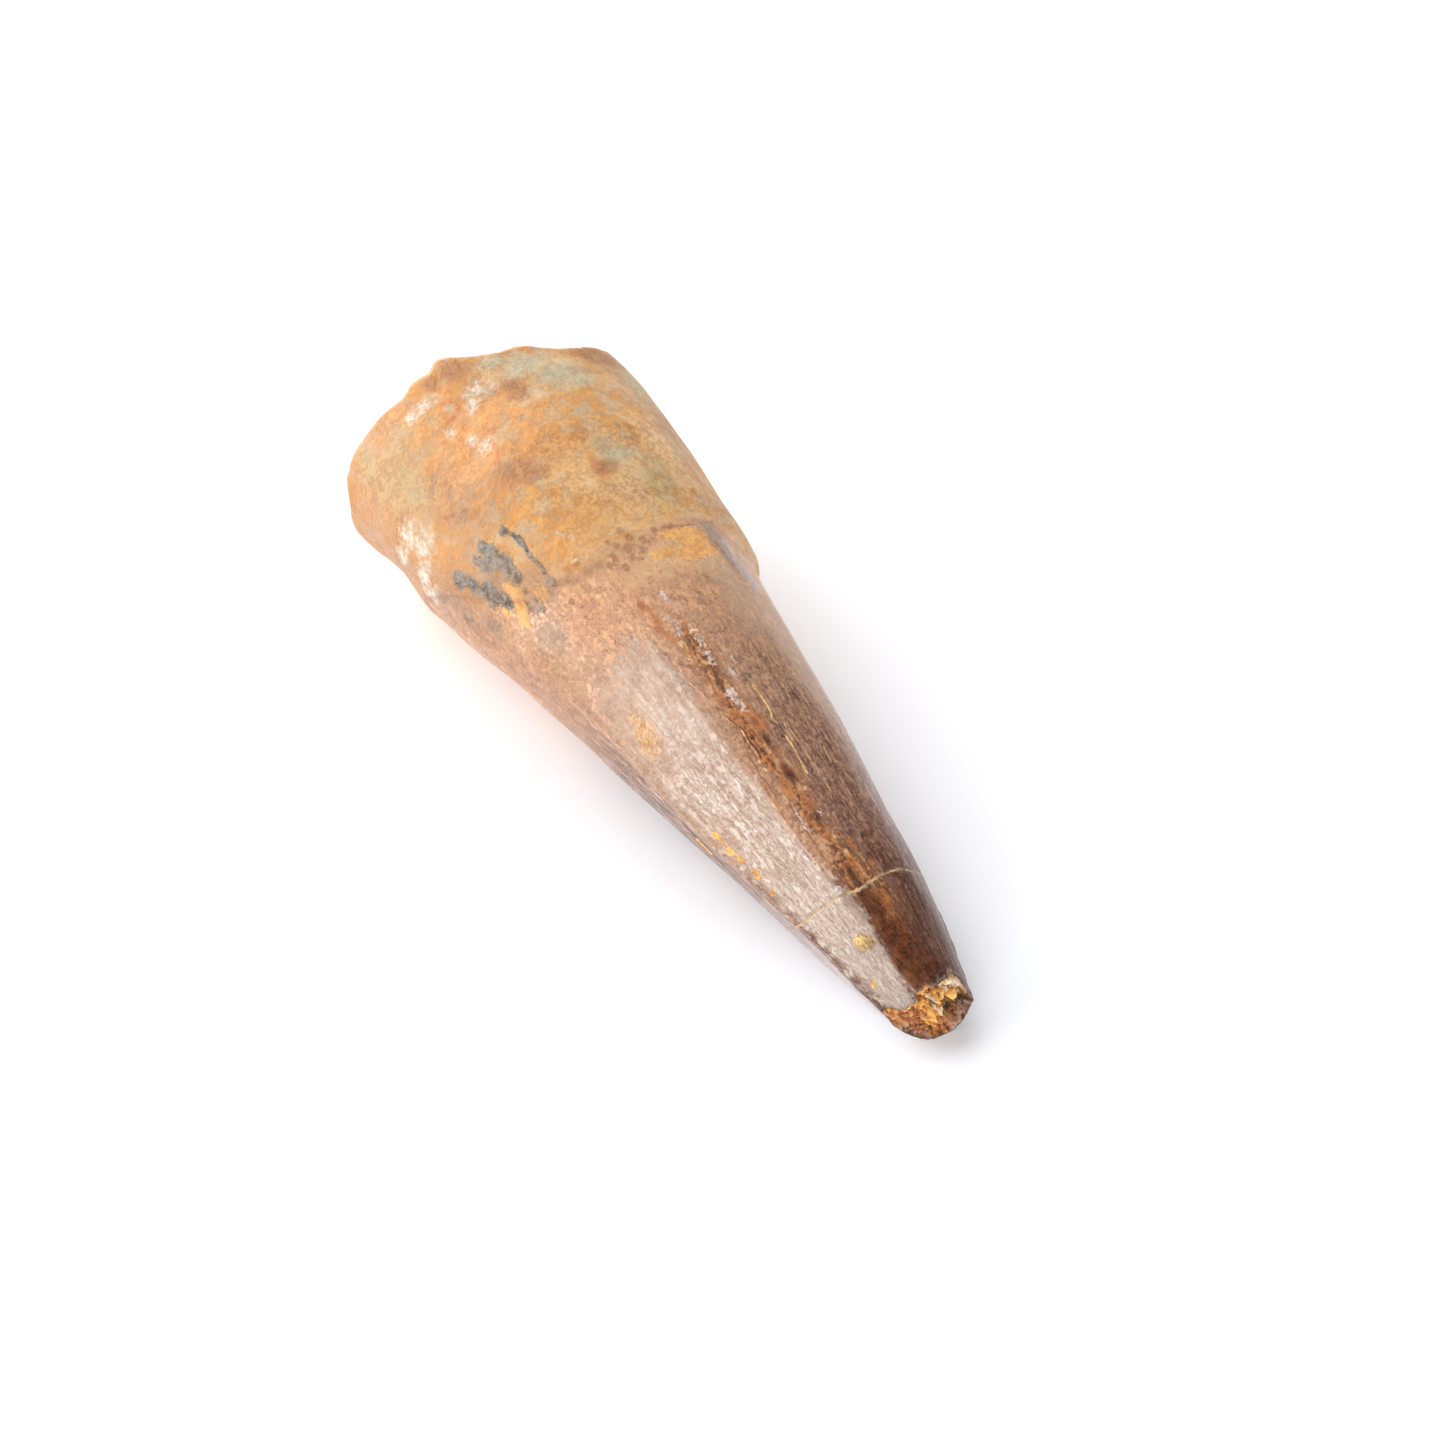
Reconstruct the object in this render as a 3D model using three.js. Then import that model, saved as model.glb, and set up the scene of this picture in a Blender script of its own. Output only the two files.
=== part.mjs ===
// Fossil dinosaur tooth: a conical crown on a long stretch of root, lying on its side.
// It grew as one piece, so it is one closed solid. Millimetres, degrees, +Z up.
//
// Two numbers name each point of the skin:
//   along  millimetres from the root end towards the tip, which is +X
//   angle  degrees round the tooth: 0 is its +Y flank, 90 the top, 180 its -Y flank, 270 the underside
import * as THREE from 'three';

// ---------------------------------------------------------------- driving dimensions

// [along, half width, how far the middle of the section lies towards +Y]
const TAPER = [
  [0, 13.9, -0.4],
  [8, 13.9, -0.15],
  [18, 13.5, -0.15],
  [27, 11.85, 0.0],
  [36, 10.2, 0.15],
  [46, 8.8, 0.1],
  [56, 7.15, 0.1],
  [66, 5.45, 0.0],
  [78, 2.6, -0.3],
];
const HEIGHT_TO_WIDTH = 0.85; // the tooth is a little flatter than round
const WORN_FLAT = 0.25; // what the underside has lost along the line it rests on

// The broken root end, from above: [angle, along]. Chips make its edge wander.
const ROOT_EDGE = [
  [0, 2.6],
  [30, 3.5],
  [44, 4.3],
  [60, 4.7],
  [67, 4.7],
  [77, 3.7],
  [91, 3.6],
  [100, 2.8],
  [104, 2.3],
  [109, 1.8],
  [114, 2.5],
  [121, 2.3],
  [128, 2.7],
  [135, 2.2],
  [143, 1.8],
  [157, 1.4],
  [171, 1.5],
  [183, 2.2],
  [200, 1.6],
  [222, 0.9],
  [240, 1.5],
  [258, 0.6],
  [276, 1.2],
  [296, 0.7],
  [315, 1.8],
  [336, 1.6],
];

// The broken tip: [angle, along]
const TIP_EDGE = [
  [0, 75.8],
  [18, 75.5],
  [40, 74.8],
  [61, 74.6],
  [87, 75.1],
  [107, 74.8],
  [128, 75.0],
  [151, 74.9],
  [165, 74.3],
  [179, 73.4],
  [200, 73.5],
  [220, 74.1],
  [239, 74.5],
  [260, 75.1],
  [280, 75.5],
  [300, 75.3],
  [320, 75.4],
  [340, 75.6],
];

// Where the outer layer of the root ends and the enamel begins: [angle, along, step down to the crown]
const LEDGE = [
  [0, 29.0, 0.5],
  [22, 29.5, 0.6],
  [32, 29.3, 0.6],
  [42, 28.6, 0.5],
  [52, 27.2, 0.3],
  [75, 27.4, 0.15],
  [100, 28.2, 0.15],
  [130, 27.6, 0.15],
  [150, 25.8, 0.15],
  [170, 20.5, 0.2],
  [183, 17.0, 0.2],
  [195, 14.6, 0.25],
  [225, 14.6, 0.3],
  [270, 18.5, 0.2],
  [320, 25.5, 0.4],
];
const LEDGE_SHARE_ABOVE = 0.6; // this share of the step stands proud of the taper, the rest is cut below it
const LEDGE_FADE_ROOT = 5;
const LEDGE_FADE_CROWN = 8;
const LEDGE_HALF_LENGTH = 0.35; // the step happens over twice this

// The two cutting edges, or carinae: [along, angle]. The second lies on the other flank.
const CARINA = [
  [28, 169],
  [42, 171.5],
  [50, 175.5],
  [60, 176],
  [70, 178.5],
  [78, 182],
];
const CARINA_HEIGHT = 0.3;
const CARINA_HALF_THICKNESS = 0.45;
const CARINA_START = 27;
const CARINA_FULL = 40;

// The flank between the blunt shoulder line and the carina is flattened: [along, angle of the shoulder]
const SHOULDER = [
  [24, 112],
  [33, 114],
  [45, 119],
  [52, 117],
  [60, 120.5],
  [65, 122],
  [70, 120],
  [78, 120],
];
// [along, share of a truly flat face that the flank reaches]
const FLATNESS = [
  [22, 0],
  [34, 0.35],
  [45, 0.6],
  [60, 0.75],
  [78, 0.8],
];

// Long low swellings: [waves round the tooth, wave length along it, phase, height]
const SWELLINGS = [
  [2, 37, 0.6, 0.16],
  [3, -21, 2.1, 0.13],
  [5, 25, 4.0, 0.1],
  [4, -12, 1.3, 0.08],
  [7, 9, 5.2, 0.05],
];
const SWELLING_ON_CROWN = 0.3; // the crown has this share of them
const UNDERSIDE = [25, 60]; // degrees from straight down: nothing hollows the skin within the first

// A nodule of rock fused to the crown
const NODULE = { along: 68.4, angle: 134, radius: 0.62, height: 0.32 };

// The higher this is, the nearer to its edge a broken face evens out the edge's chips
const CHIP_POWER = 4;

// The root's face has a rim, ROOT_WALL of the radius thick, round a shallow hollow
const ROOT_WALL = 0.25;
const ROOT_WALL_WANDER = 0.06;
const ROOT_WALL_SLOPE = 0.1;
const ROOT_HOLLOW_DEPTH = 2.0;

// Lumps and pits of the broken faces: [towards +Y, up, radius, rise]. The first three are shares
// of the half width, the rise is in mm, and a negative one is a pit.
const ROOT_LUMPS = [
  [-0.3, 0.2, 0.3, 0.9],
  [0.3, -0.1, 0.26, 0.7],
  [0.05, 0.45, 0.2, -0.5],
  [-0.15, -0.35, 0.24, -0.6],
];
const TIP_LUMPS = [
  [0.72, -0.05, 0.28, -1.0],
  [0.5, 0.62, 0.22, 0.5],
  [0.74, 0.52, 0.18, 0.35],
  [0.12, 0.42, 0.2, 0.4],
  [0.0, 0.1, 0.14, -0.5],
  [0.0, -0.16, 0.16, 0.45],
  [-0.1, -0.48, 0.18, 0.25],
  [0.3, -0.26, 0.14, -0.35],
  [0.57, -0.09, 0.13, 0.4],
  [0.52, -0.5, 0.2, -0.45],
  [-0.6, -0.4, 0.22, -0.25],
];
const TIP_RIM_DROP = 0.3; // the rock inside lies this far below the enamel's edge
const TIP_RIM = 0.8; // where that rim starts, as a share of the radius

// How finely the skin is cut
const AROUND = 90;
const ROOT_FACE_RINGS = 5;
const ROOT_RINGS = 11;
const CROWN_RINGS = 25;
const NODULE_RINGS = 4;
const TIP_FACE_RINGS = 7;

// ---------------------------------------------------------------- small helpers

const radians = THREE.MathUtils.degToRad;
const { lerp, smoothstep } = THREE.MathUtils;

// A smooth curve through rows of numbers, by the first column; `column` says which value is wanted.
function through(rows, at, column = 1) {
  const last = rows.length - 1;
  const x = (i) => rows[i][0];
  const y = (i) => rows[i][column];
  const clamped = Math.min(Math.max(at, x(0)), x(last));
  let i = 0;
  while (i < last - 1 && clamped > x(i + 1)) i += 1;
  const span = x(i + 1) - x(i);
  const slope = (k) => {
    const a = Math.max(k - 1, 0);
    const b = Math.min(k + 1, last);
    return (y(b) - y(a)) / (x(b) - x(a));
  };
  const u = (clamped - x(i)) / span;
  return (
    y(i) * (1 + 2 * u) * (1 - u) ** 2 +
    slope(i) * span * u * (1 - u) ** 2 +
    y(i + 1) * u * u * (3 - 2 * u) -
    slope(i + 1) * span * u * u * (1 - u)
  );
}

// The same round the tooth, where 360 degrees meets 0.
function round(rows, angle, column = 1) {
  const turned = (row, degrees) => row.map((value, k) => (k === 0 ? value + degrees : value));
  const wrapped = [
    ...rows.slice(-2).map((row) => turned(row, -360)),
    ...rows,
    ...rows.slice(0, 2).map((row) => turned(row, 360)),
  ];
  return through(wrapped, ((angle % 360) + 360) % 360, column);
}

// Degrees from one angle to another, -180 to 180.
function turn(from, to) {
  return ((((to - from + 180) % 360) + 360) % 360) - 180;
}

// ---------------------------------------------------------------- the skin

function swelling(along, angle) {
  const onCrown = smoothstep(along, 24, 34);
  let sum = 0;
  for (const [waves, length, phase, height] of SWELLINGS) {
    sum += height * Math.sin(waves * radians(angle) + (2 * Math.PI * along) / length + phase);
  }
  return sum * lerp(1, SWELLING_ON_CROWN, onCrown);
}

function ledge(along, angle) {
  const past = along - round(LEDGE, angle, 1);
  const step = round(LEDGE, angle, 2);
  const beforeTop = Math.min(past + LEDGE_HALF_LENGTH, 0);
  const afterFoot = Math.max(past - LEDGE_HALF_LENGTH, 0);
  const above = step * LEDGE_SHARE_ABOVE * Math.exp(beforeTop / LEDGE_FADE_ROOT);
  const below = step * (LEDGE_SHARE_ABOVE - 1) * Math.exp(-afterFoot / LEDGE_FADE_CROWN);
  return lerp(above, below, smoothstep(past, -LEDGE_HALF_LENGTH, LEDGE_HALF_LENGTH));
}

function carinae(along, angle, halfWidth) {
  const growth = smoothstep(along, CARINA_START, CARINA_FULL);
  const line = through(CARINA, along);
  let sum = 0;
  for (const edge of [line, line + 180]) {
    const aside = radians(turn(edge, angle)) * halfWidth;
    sum += Math.exp(-((aside / CARINA_HALF_THICKNESS) ** 2));
  }
  return growth * CARINA_HEIGHT * sum;
}

function flattening(along, angle, halfWidth) {
  const from = through(SHOULDER, along);
  const to = through(CARINA, along);
  const half = (to - from) / 2;
  const share = turn((from + to) / 2, angle) / half;
  if (Math.abs(share) >= 1) return 0;
  const deepest = halfWidth * (1 - Math.cos(radians(half)));
  return -through(FLATNESS, along) * deepest * (1 - share * share);
}

function nodule(along, angle, halfWidth) {
  const aside = radians(turn(NODULE.angle, angle)) * halfWidth;
  const away = Math.hypot(along - NODULE.along, aside) / NODULE.radius;
  return away < 1 ? NODULE.height * Math.sqrt(1 - away * away) : 0;
}

// One point of the outer skin.
function skin(along, angle) {
  const halfWidth = through(TAPER, along, 1);
  const halfHeight = halfWidth * HEIGHT_TO_WIDTH;
  let lift =
    swelling(along, angle) +
    ledge(along, angle) +
    flattening(along, angle, halfWidth) +
    carinae(along, angle, halfWidth) +
    nodule(along, angle, halfWidth);
  lift = lerp(Math.max(lift, 0), lift, smoothstep(Math.abs(turn(270, angle)), ...UNDERSIDE));
  const y = through(TAPER, along, 2) + (halfWidth + lift) * Math.cos(radians(angle));
  const z = halfHeight - WORN_FLAT + (halfHeight + lift) * Math.sin(radians(angle));
  return new THREE.Vector3(along, y, Math.max(z, 0));
}

// ---------------------------------------------------------------- the broken faces

function lumps(rows, across, up) {
  let sum = 0;
  for (const [y, z, radius, rise] of rows) {
    sum += rise * Math.exp(-(((across - y) ** 2 + (up - z) ** 2) / (radius * radius)));
  }
  return sum;
}

// How far the root's face lies towards the tip; `share` is 0 in its middle and 1 at its edge.
function rootRelief(across, up, share) {
  const wall = 1 - ROOT_WALL + ROOT_WALL_WANDER * Math.sin(3 * Math.atan2(up, across) + 1);
  const inside = 1 - smoothstep(share, wall - ROOT_WALL_SLOPE, wall + ROOT_WALL_SLOPE);
  return inside * (ROOT_HOLLOW_DEPTH - lumps(ROOT_LUMPS, across, up));
}

function tipRelief(across, up, share) {
  const inside = 1 - smoothstep(share, TIP_RIM, 1);
  return inside * (lumps(TIP_LUMPS, across, up) - TIP_RIM_DROP);
}

// A broken face inside its edge, as a function of the share of the way out and the number of the edge point.
function brokenFace(edge, relief) {
  const middle = edge.reduce((sum, point) => sum.add(point), new THREE.Vector3()).divideScalar(AROUND);
  const across = (i) => Math.cos(radians(ANGLES[i]));
  const up = (i) => Math.sin(radians(ANGLES[i]));
  const leanAcross = edge.reduce((sum, point, i) => sum + (2 / AROUND) * point.x * across(i), 0);
  const leanUp = edge.reduce((sum, point, i) => sum + (2 / AROUND) * point.x * up(i), 0);
  return (share, i) => {
    const lean = leanAcross * across(i) + leanUp * up(i);
    const chip = edge[i].x - middle.x - lean;
    const point = middle.clone().lerp(edge[i], share);
    point.x = middle.x + lean * share + chip * share ** CHIP_POWER;
    point.x += relief(share * across(i), share * up(i), share);
    return point;
  };
}

// ---------------------------------------------------------------- the solid

const ANGLES = Array.from({ length: AROUND }, (_, i) => (360 * i) / AROUND);

const ledgeTop = (angle) => round(LEDGE, angle) - LEDGE_HALF_LENGTH;
const ledgeFoot = (angle) => round(LEDGE, angle) + LEDGE_HALF_LENGTH;
const rootEnd = (angle) => round(ROOT_EDGE, angle);
const tipEnd = (angle) => round(TIP_EDGE, angle);

// A ring of skin, a share of the way from one line round the tooth to another.
function ringBetween(from, to, share) {
  return ANGLES.map((angle) => skin(lerp(from(angle), to(angle), share), angle));
}

// Where the crown has its rings: evenly from ledge to tip, and closer over the nodule.
function crownShares() {
  const { along, angle, radius } = NODULE;
  const length = tipEnd(angle) - ledgeFoot(angle);
  const middle = (along - ledgeFoot(angle)) / length;
  const reach = radius / length;
  const even = Array.from({ length: CROWN_RINGS + 1 }, (_, k) => k / CROWN_RINGS);
  const close = Array.from({ length: NODULE_RINGS }, (_, k) => lerp(-reach, reach, k / (NODULE_RINGS - 1)));
  const clear = even.filter((share) => Math.abs(share - middle) > 1.3 * reach);
  return [...clear, ...close.map((offset) => middle + offset)].sort((a, b) => a - b);
}

function toothGeometry() {
  const rootFace = brokenFace(ringBetween(rootEnd, ledgeTop, 0), rootRelief);
  const tipFace = brokenFace(ringBetween(ledgeFoot, tipEnd, 1), tipRelief);
  const rings = [];
  for (let k = 1; k <= ROOT_FACE_RINGS; k += 1) {
    rings.push(ANGLES.map((_, i) => rootFace(k / (ROOT_FACE_RINGS + 1), i)));
  }
  for (let k = 0; k <= ROOT_RINGS; k += 1) {
    rings.push(ringBetween(rootEnd, ledgeTop, k / ROOT_RINGS));
  }
  for (const share of crownShares()) {
    rings.push(ringBetween(ledgeFoot, tipEnd, share));
  }
  for (let k = TIP_FACE_RINGS; k >= 1; k -= 1) {
    rings.push(ANGLES.map((_, i) => tipFace(k / (TIP_FACE_RINGS + 1), i)));
  }
  const points = [rootFace(0, 0), ...rings.flat(), tipFace(0, 0)];

  const at = (ring, i) => 1 + ring * AROUND + (i % AROUND);
  const lastRing = rings.length - 1;
  const faces = [];
  for (let i = 0; i < AROUND; i += 1) {
    faces.push(0, at(0, i + 1), at(0, i));
    for (let r = 0; r < lastRing; r += 1) {
      faces.push(at(r, i), at(r + 1, i + 1), at(r + 1, i));
      faces.push(at(r, i), at(r, i + 1), at(r + 1, i + 1));
    }
    faces.push(points.length - 1, at(lastRing, i), at(lastRing, i + 1));
  }

  const geometry = new THREE.BufferGeometry().setFromPoints(points);
  geometry.setIndex(faces);
  return geometry;
}

// ---------------------------------------------------------------- the part

const fossil = new THREE.MeshStandardMaterial({ color: '#9a6a40', roughness: 0.45, metalness: 0 });

// The origin is under the middle of the tooth's box, on the surface that it lies on.
const geometry = toothGeometry();
geometry.computeBoundingBox();
const middle = geometry.boundingBox.getCenter(new THREE.Vector3());
geometry.translate(-middle.x, -middle.y, -geometry.boundingBox.min.z);
geometry.computeVertexNormals();

const tooth = new THREE.Mesh(geometry, fossil);
tooth.name = 'tooth';

const part = new THREE.Group();
part.add(tooth);

export default part;
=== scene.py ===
import itertools
import math

import bpy
import numpy as np
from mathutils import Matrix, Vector


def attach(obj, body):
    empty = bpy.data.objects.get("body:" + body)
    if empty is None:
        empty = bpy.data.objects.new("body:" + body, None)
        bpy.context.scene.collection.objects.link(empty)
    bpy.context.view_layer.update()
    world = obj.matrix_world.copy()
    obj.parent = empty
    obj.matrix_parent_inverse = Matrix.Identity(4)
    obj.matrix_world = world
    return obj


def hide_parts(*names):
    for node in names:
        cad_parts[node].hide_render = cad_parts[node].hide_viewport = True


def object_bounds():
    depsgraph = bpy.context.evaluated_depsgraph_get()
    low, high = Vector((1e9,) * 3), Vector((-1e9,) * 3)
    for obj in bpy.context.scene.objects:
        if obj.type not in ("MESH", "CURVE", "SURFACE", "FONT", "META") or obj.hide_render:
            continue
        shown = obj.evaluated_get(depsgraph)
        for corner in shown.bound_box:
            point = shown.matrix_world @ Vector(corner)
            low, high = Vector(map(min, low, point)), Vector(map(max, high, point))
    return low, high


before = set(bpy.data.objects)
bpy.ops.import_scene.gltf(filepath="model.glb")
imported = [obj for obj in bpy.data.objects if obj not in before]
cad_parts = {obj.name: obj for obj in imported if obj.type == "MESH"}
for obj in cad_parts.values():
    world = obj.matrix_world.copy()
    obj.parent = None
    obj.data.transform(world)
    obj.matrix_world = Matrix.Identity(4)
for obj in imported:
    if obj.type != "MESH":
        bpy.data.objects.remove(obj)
cad_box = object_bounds()
MM = 0.001

# ---------------------------------------------------------------- the form, as in the CAD

# Three things differ a little from the solid: TIP_EDGE lies farther out from 200 degrees round to
# 18, the first of TIP_LUMPS is a deeper hollow, and the nodule is longer, slanted, farther along
# and a little higher.

# (along, half width, how far the middle of the section lies towards +Y)
TAPER = [
    (0, 13.9, -0.4), (8, 13.9, -0.15), (18, 13.5, -0.15), (27, 11.85, 0.0), (36, 10.2, 0.15),
    (46, 8.8, 0.1), (56, 7.15, 0.1), (66, 5.45, 0.0), (78, 2.6, -0.3),
]
HEIGHT_TO_WIDTH = 0.85
WORN_FLAT = 0.25

# The broken ends, from above: (angle, along)
ROOT_EDGE = [
    (0, 2.6), (30, 3.5), (44, 4.3), (60, 4.7), (67, 4.7), (77, 3.7), (91, 3.6), (100, 2.8),
    (104, 2.3), (109, 1.8), (114, 2.5), (121, 2.3), (128, 2.7), (135, 2.2), (143, 1.8), (157, 1.4),
    (171, 1.5), (183, 2.2), (200, 1.6), (222, 0.9), (240, 1.5), (258, 0.6), (276, 1.2), (296, 0.7),
    (315, 1.8), (336, 1.6),
]
TIP_EDGE = [
    (0, 75.9), (18, 75.6), (40, 74.8), (61, 74.6), (87, 75.1), (107, 74.8), (128, 75.0),
    (151, 74.9), (165, 74.3), (179, 73.4), (200, 73.8), (220, 74.6), (239, 75.1), (260, 75.8),
    (280, 76.0), (300, 76.0), (320, 76.0), (340, 76.0),
]

# Where the outer layer of the root ends and the enamel begins: (angle, along, step down)
LEDGE = [
    (0, 29.0, 0.5), (22, 29.5, 0.6), (32, 29.3, 0.6), (42, 28.6, 0.5), (52, 27.2, 0.3),
    (75, 27.4, 0.15), (100, 28.2, 0.15), (130, 27.6, 0.15), (150, 25.8, 0.15), (170, 20.5, 0.2),
    (183, 17.0, 0.2), (195, 14.6, 0.25), (225, 14.6, 0.3), (270, 18.5, 0.2), (320, 25.5, 0.4),
]
LEDGE_SHARE_ABOVE = 0.6
LEDGE_FADE_ROOT = 5
LEDGE_FADE_CROWN = 8
LEDGE_HALF_LENGTH = 0.35

# The cutting edges, or carinae: (along, angle)
CARINA = [(28, 169), (42, 171.5), (50, 175.5), (60, 176), (70, 178.5), (78, 182)]
CARINA_HEIGHT = 0.3
CARINA_HALF_THICKNESS = 0.45
CARINA_START = 27
CARINA_FULL = 40

# The flattened flank: (along, angle of its shoulder) and (along, how flat)
SHOULDER = [
    (24, 112), (33, 114), (45, 119), (52, 117), (60, 120.5), (65, 122), (70, 120), (78, 120),
]
FLATNESS = [(22, 0), (34, 0.35), (45, 0.6), (60, 0.75), (78, 0.8)]

# Long low swellings: (waves round the tooth, wave length along it, phase, height)
SWELLINGS = [
    (2, 37, 0.6, 0.16), (3, -21, 2.1, 0.13), (5, 25, 4.0, 0.1), (4, -12, 1.3, 0.08),
    (7, 9, 5.2, 0.05),
]
SWELLING_ON_CROWN = 0.3  # as a share of its height on the root
SWELLINGS_SINK = (24, 34)  # the stretch along the tooth where they sink to that share
UNDERSIDE = (25, 60)

NODULE = (68.8, 134, 1.05, 0.62, -47)  # a patch: see from_patch
NODULE_HEIGHT = 0.34
NODULE_GRAINS = 0.35  # how much of its height comes and goes

CHIP_POWER = 4
ROOT_WALL = 0.25
ROOT_WALL_WANDER = 0.06
ROOT_WALL_SLOPE = 0.1
ROOT_HOLLOW_DEPTH = 2.0

# Lumps of the broken faces: (towards +Y, up, radius, rise), the first three as shares of the radius
ROOT_LUMPS = [
    (-0.3, 0.2, 0.3, 0.9), (0.3, -0.1, 0.26, 0.7), (0.05, 0.45, 0.2, -0.5),
    (-0.15, -0.35, 0.24, -0.6),
]
TIP_LUMPS = [
    (0.72, -0.05, 0.28, -1.3), (0.5, 0.62, 0.22, 0.5), (0.74, 0.52, 0.18, 0.35),
    (0.12, 0.42, 0.2, 0.4), (0.0, 0.1, 0.14, -0.5), (0.0, -0.16, 0.16, 0.45),
    (-0.1, -0.48, 0.18, 0.25), (0.3, -0.26, 0.14, -0.35), (0.57, -0.09, 0.13, 0.4),
    (0.52, -0.5, 0.2, -0.45), (-0.6, -0.4, 0.22, -0.25),
]
TIP_RIM_DROP = 0.3
TIP_RIM = 0.8

# The point of the skin's own millimetres that lies on the origin
ORIGIN = np.array([38.2035, -0.2672, 0.0])

# ---------------------------------------------------------------- finer than the CAD

# The crack across the crown near its tip: (angle, along)
CRACK = [
    (0, 63.9), (17, 64.2), (39, 64.9), (53, 65.0), (84, 65.2), (104, 65.5), (111, 65.4),
    (127, 64.8), (142, 64.2), (165, 63.6), (178, 63.1), (200, 61.5), (230, 61.0), (270, 61.8),
    (320, 63.2),
]
CRACK_HALF_WIDTH = 0.14
CRACK_DEPTH = 0.07
CRACK_RINGS_REACH = 0.5
CRACK_WANDER = 0.15  # how far the crack wanders from its smooth line

LEDGE_RAGGED = 0.35  # how far the ledge wanders from its smooth line
LEDGE_BLEND = 0.6  # how far on either side of it the root's grit passes into wrinkles
STAIN_WANDER = 0.22  # how far stains and veins wander from their smooth outlines
CARINA_NICKS = 0.5  # how much of their height the carinae lose and gain along themselves
ROOT_GRIT = 0.05
ROOT_ROLL = 0.12
CROWN_WRINKLES = 0.03
ROOT_NOTCHES = 0.6  # how deep the broken edges are bitten, at most
TIP_CHIPS = 0.5
TIP_CRUMBLING = 0.35  # how far the skin is worn back in crumbs close to the broken tip
TIP_CRUMBLING_REACH = 0.8  # and how far from the tip that goes
# The grains of the broken faces: how far they stand along the tooth, and how large they are
ROOT_GRAINS = (-0.5, 2.6)
TIP_GRAINS = (0.6, 0.75)
# Their lumps, the finer grit on these, and how far the whole is lowered
GRAIN_LUMPS = 3.0
GRAIN_GRIT = 0.4
GRAIN_LEVEL = 0.7
GRAINS_START = 0.08  # the share of the radius over which they rise from the edge

# Columns of points round the tooth, which crowd together about the angle where the veins lie
AROUND = 320
VEINED = 110
CROWDING = 0.4
# Rings of a broken face, which crowd towards its edge
ROOT_FACE_RINGS = 26
TIP_FACE_RINGS = 46
RINGS_CROWDING = 1.2
# Rings between one line round the tooth and the next
SKIN_RINGS = (72, 5, 112, 9, 34)
EVEN_RADIUS = 8.0  # of the even cylinder that the grain of the skin is drawn on


def smoothstep(x, low, high):
    share = np.clip((x - low) / (high - low), 0, 1)
    return share * share * (3 - 2 * share)


def lerp(a, b, share):
    return a + (b - a) * share


def through(rows, at, column=1):
    """A smooth curve through rows of numbers, by the first column."""
    x = np.array([row[0] for row in rows], float)
    y = np.array([row[column] for row in rows], float)
    last = len(rows) - 1
    before = np.maximum(np.arange(last + 1) - 1, 0)
    after = np.minimum(np.arange(last + 1) + 1, last)
    slope = (y[after] - y[before]) / (x[after] - x[before])
    clamped = np.clip(at, x[0], x[last])
    i = np.clip(np.searchsorted(x, clamped) - 1, 0, last - 1)
    span = x[i + 1] - x[i]
    u = (clamped - x[i]) / span
    return (
        y[i] * (1 + 2 * u) * (1 - u) ** 2
        + slope[i] * span * u * (1 - u) ** 2
        + y[i + 1] * u * u * (3 - 2 * u)
        - slope[i + 1] * span * u * u * (1 - u)
    )


def around(rows, angle, column=1):
    """The same round the tooth, where 360 degrees meets 0."""
    behind = [(row[0] - 360, *row[1:]) for row in rows[-2:]]
    ahead = [(row[0] + 360, *row[1:]) for row in rows[:2]]
    return through(behind + rows + ahead, np.mod(angle, 360), column)


def turn(start, end):
    """Degrees from one angle to another, -180 to 180."""
    return np.mod(end - start + 180, 360) - 180


def noise(points, size, seed=0):
    """Smooth repeatable noise from -1 to 1, in lumps of about the given size."""
    spot = points / size + 31.7 * seed
    cell = np.floor(spot)
    ease = (spot - cell) ** 2 * (3 - 2 * (spot - cell))
    total = 0
    for corner in itertools.product((0, 1), repeat=3):
        drawn = np.sin((cell + corner) @ (127.1, 311.7, 74.7)) * 43758.5453
        weight = np.where(corner, ease, 1 - ease).prod(axis=-1)
        total = total + weight * (drawn - np.floor(drawn))
    return 2 * total - 1


def rough(points, size, octaves, seed=0):
    """Noise with finer noise on it, each octave half as large and half as high."""
    layers = [noise(points, size / 2**k, seed + k) / 2**k for k in range(octaves)]
    return sum(layers) / (2 - 0.5 ** (octaves - 1))


# ---------------------------------------------------------------- where things are on the skin


def skin_frame(along, angle):
    """A place on an even cylinder, where the tooth's own lines run straight along it."""
    across = EVEN_RADIUS * np.cos(np.radians(angle))
    up = EVEN_RADIUS * np.sin(np.radians(angle))
    return np.stack([along, across, up], -1)


def ledge_line(angle):
    ring = skin_frame(np.zeros_like(angle), angle)
    return around(LEDGE, angle) + LEDGE_RAGGED * rough(ring, 2.0, 3, 5)


FAR = -2.0  # what a mark is worth far from all of its patches


def from_patch(patch, along, angle, half_width):
    """How far a point lies from the middle of a patch: 1 at its edge.
    A patch is (along, angle, half length, half width, slant in degrees)."""
    at, about, half_length, half_breadth, slant = patch
    ahead = along - at
    aside = np.radians(turn(about, angle)) * half_width
    c, s = math.cos(math.radians(slant)), math.sin(math.radians(slant))
    long_way = (ahead * c + aside * s) / half_length
    short_way = (aside * c - ahead * s) / half_breadth
    return np.hypot(long_way, short_way)


def patches(rows, along, angle):
    """1 in the middle of a patch, 0.5 at its edge and less beyond it, by the nearest of several."""
    half_width = through(TAPER, along)
    nearest = np.full_like(along, FAR)
    for patch in rows:
        nearest = np.maximum(nearest, 1 - from_patch(patch, along, angle, half_width) / 2)
    return nearest


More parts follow.
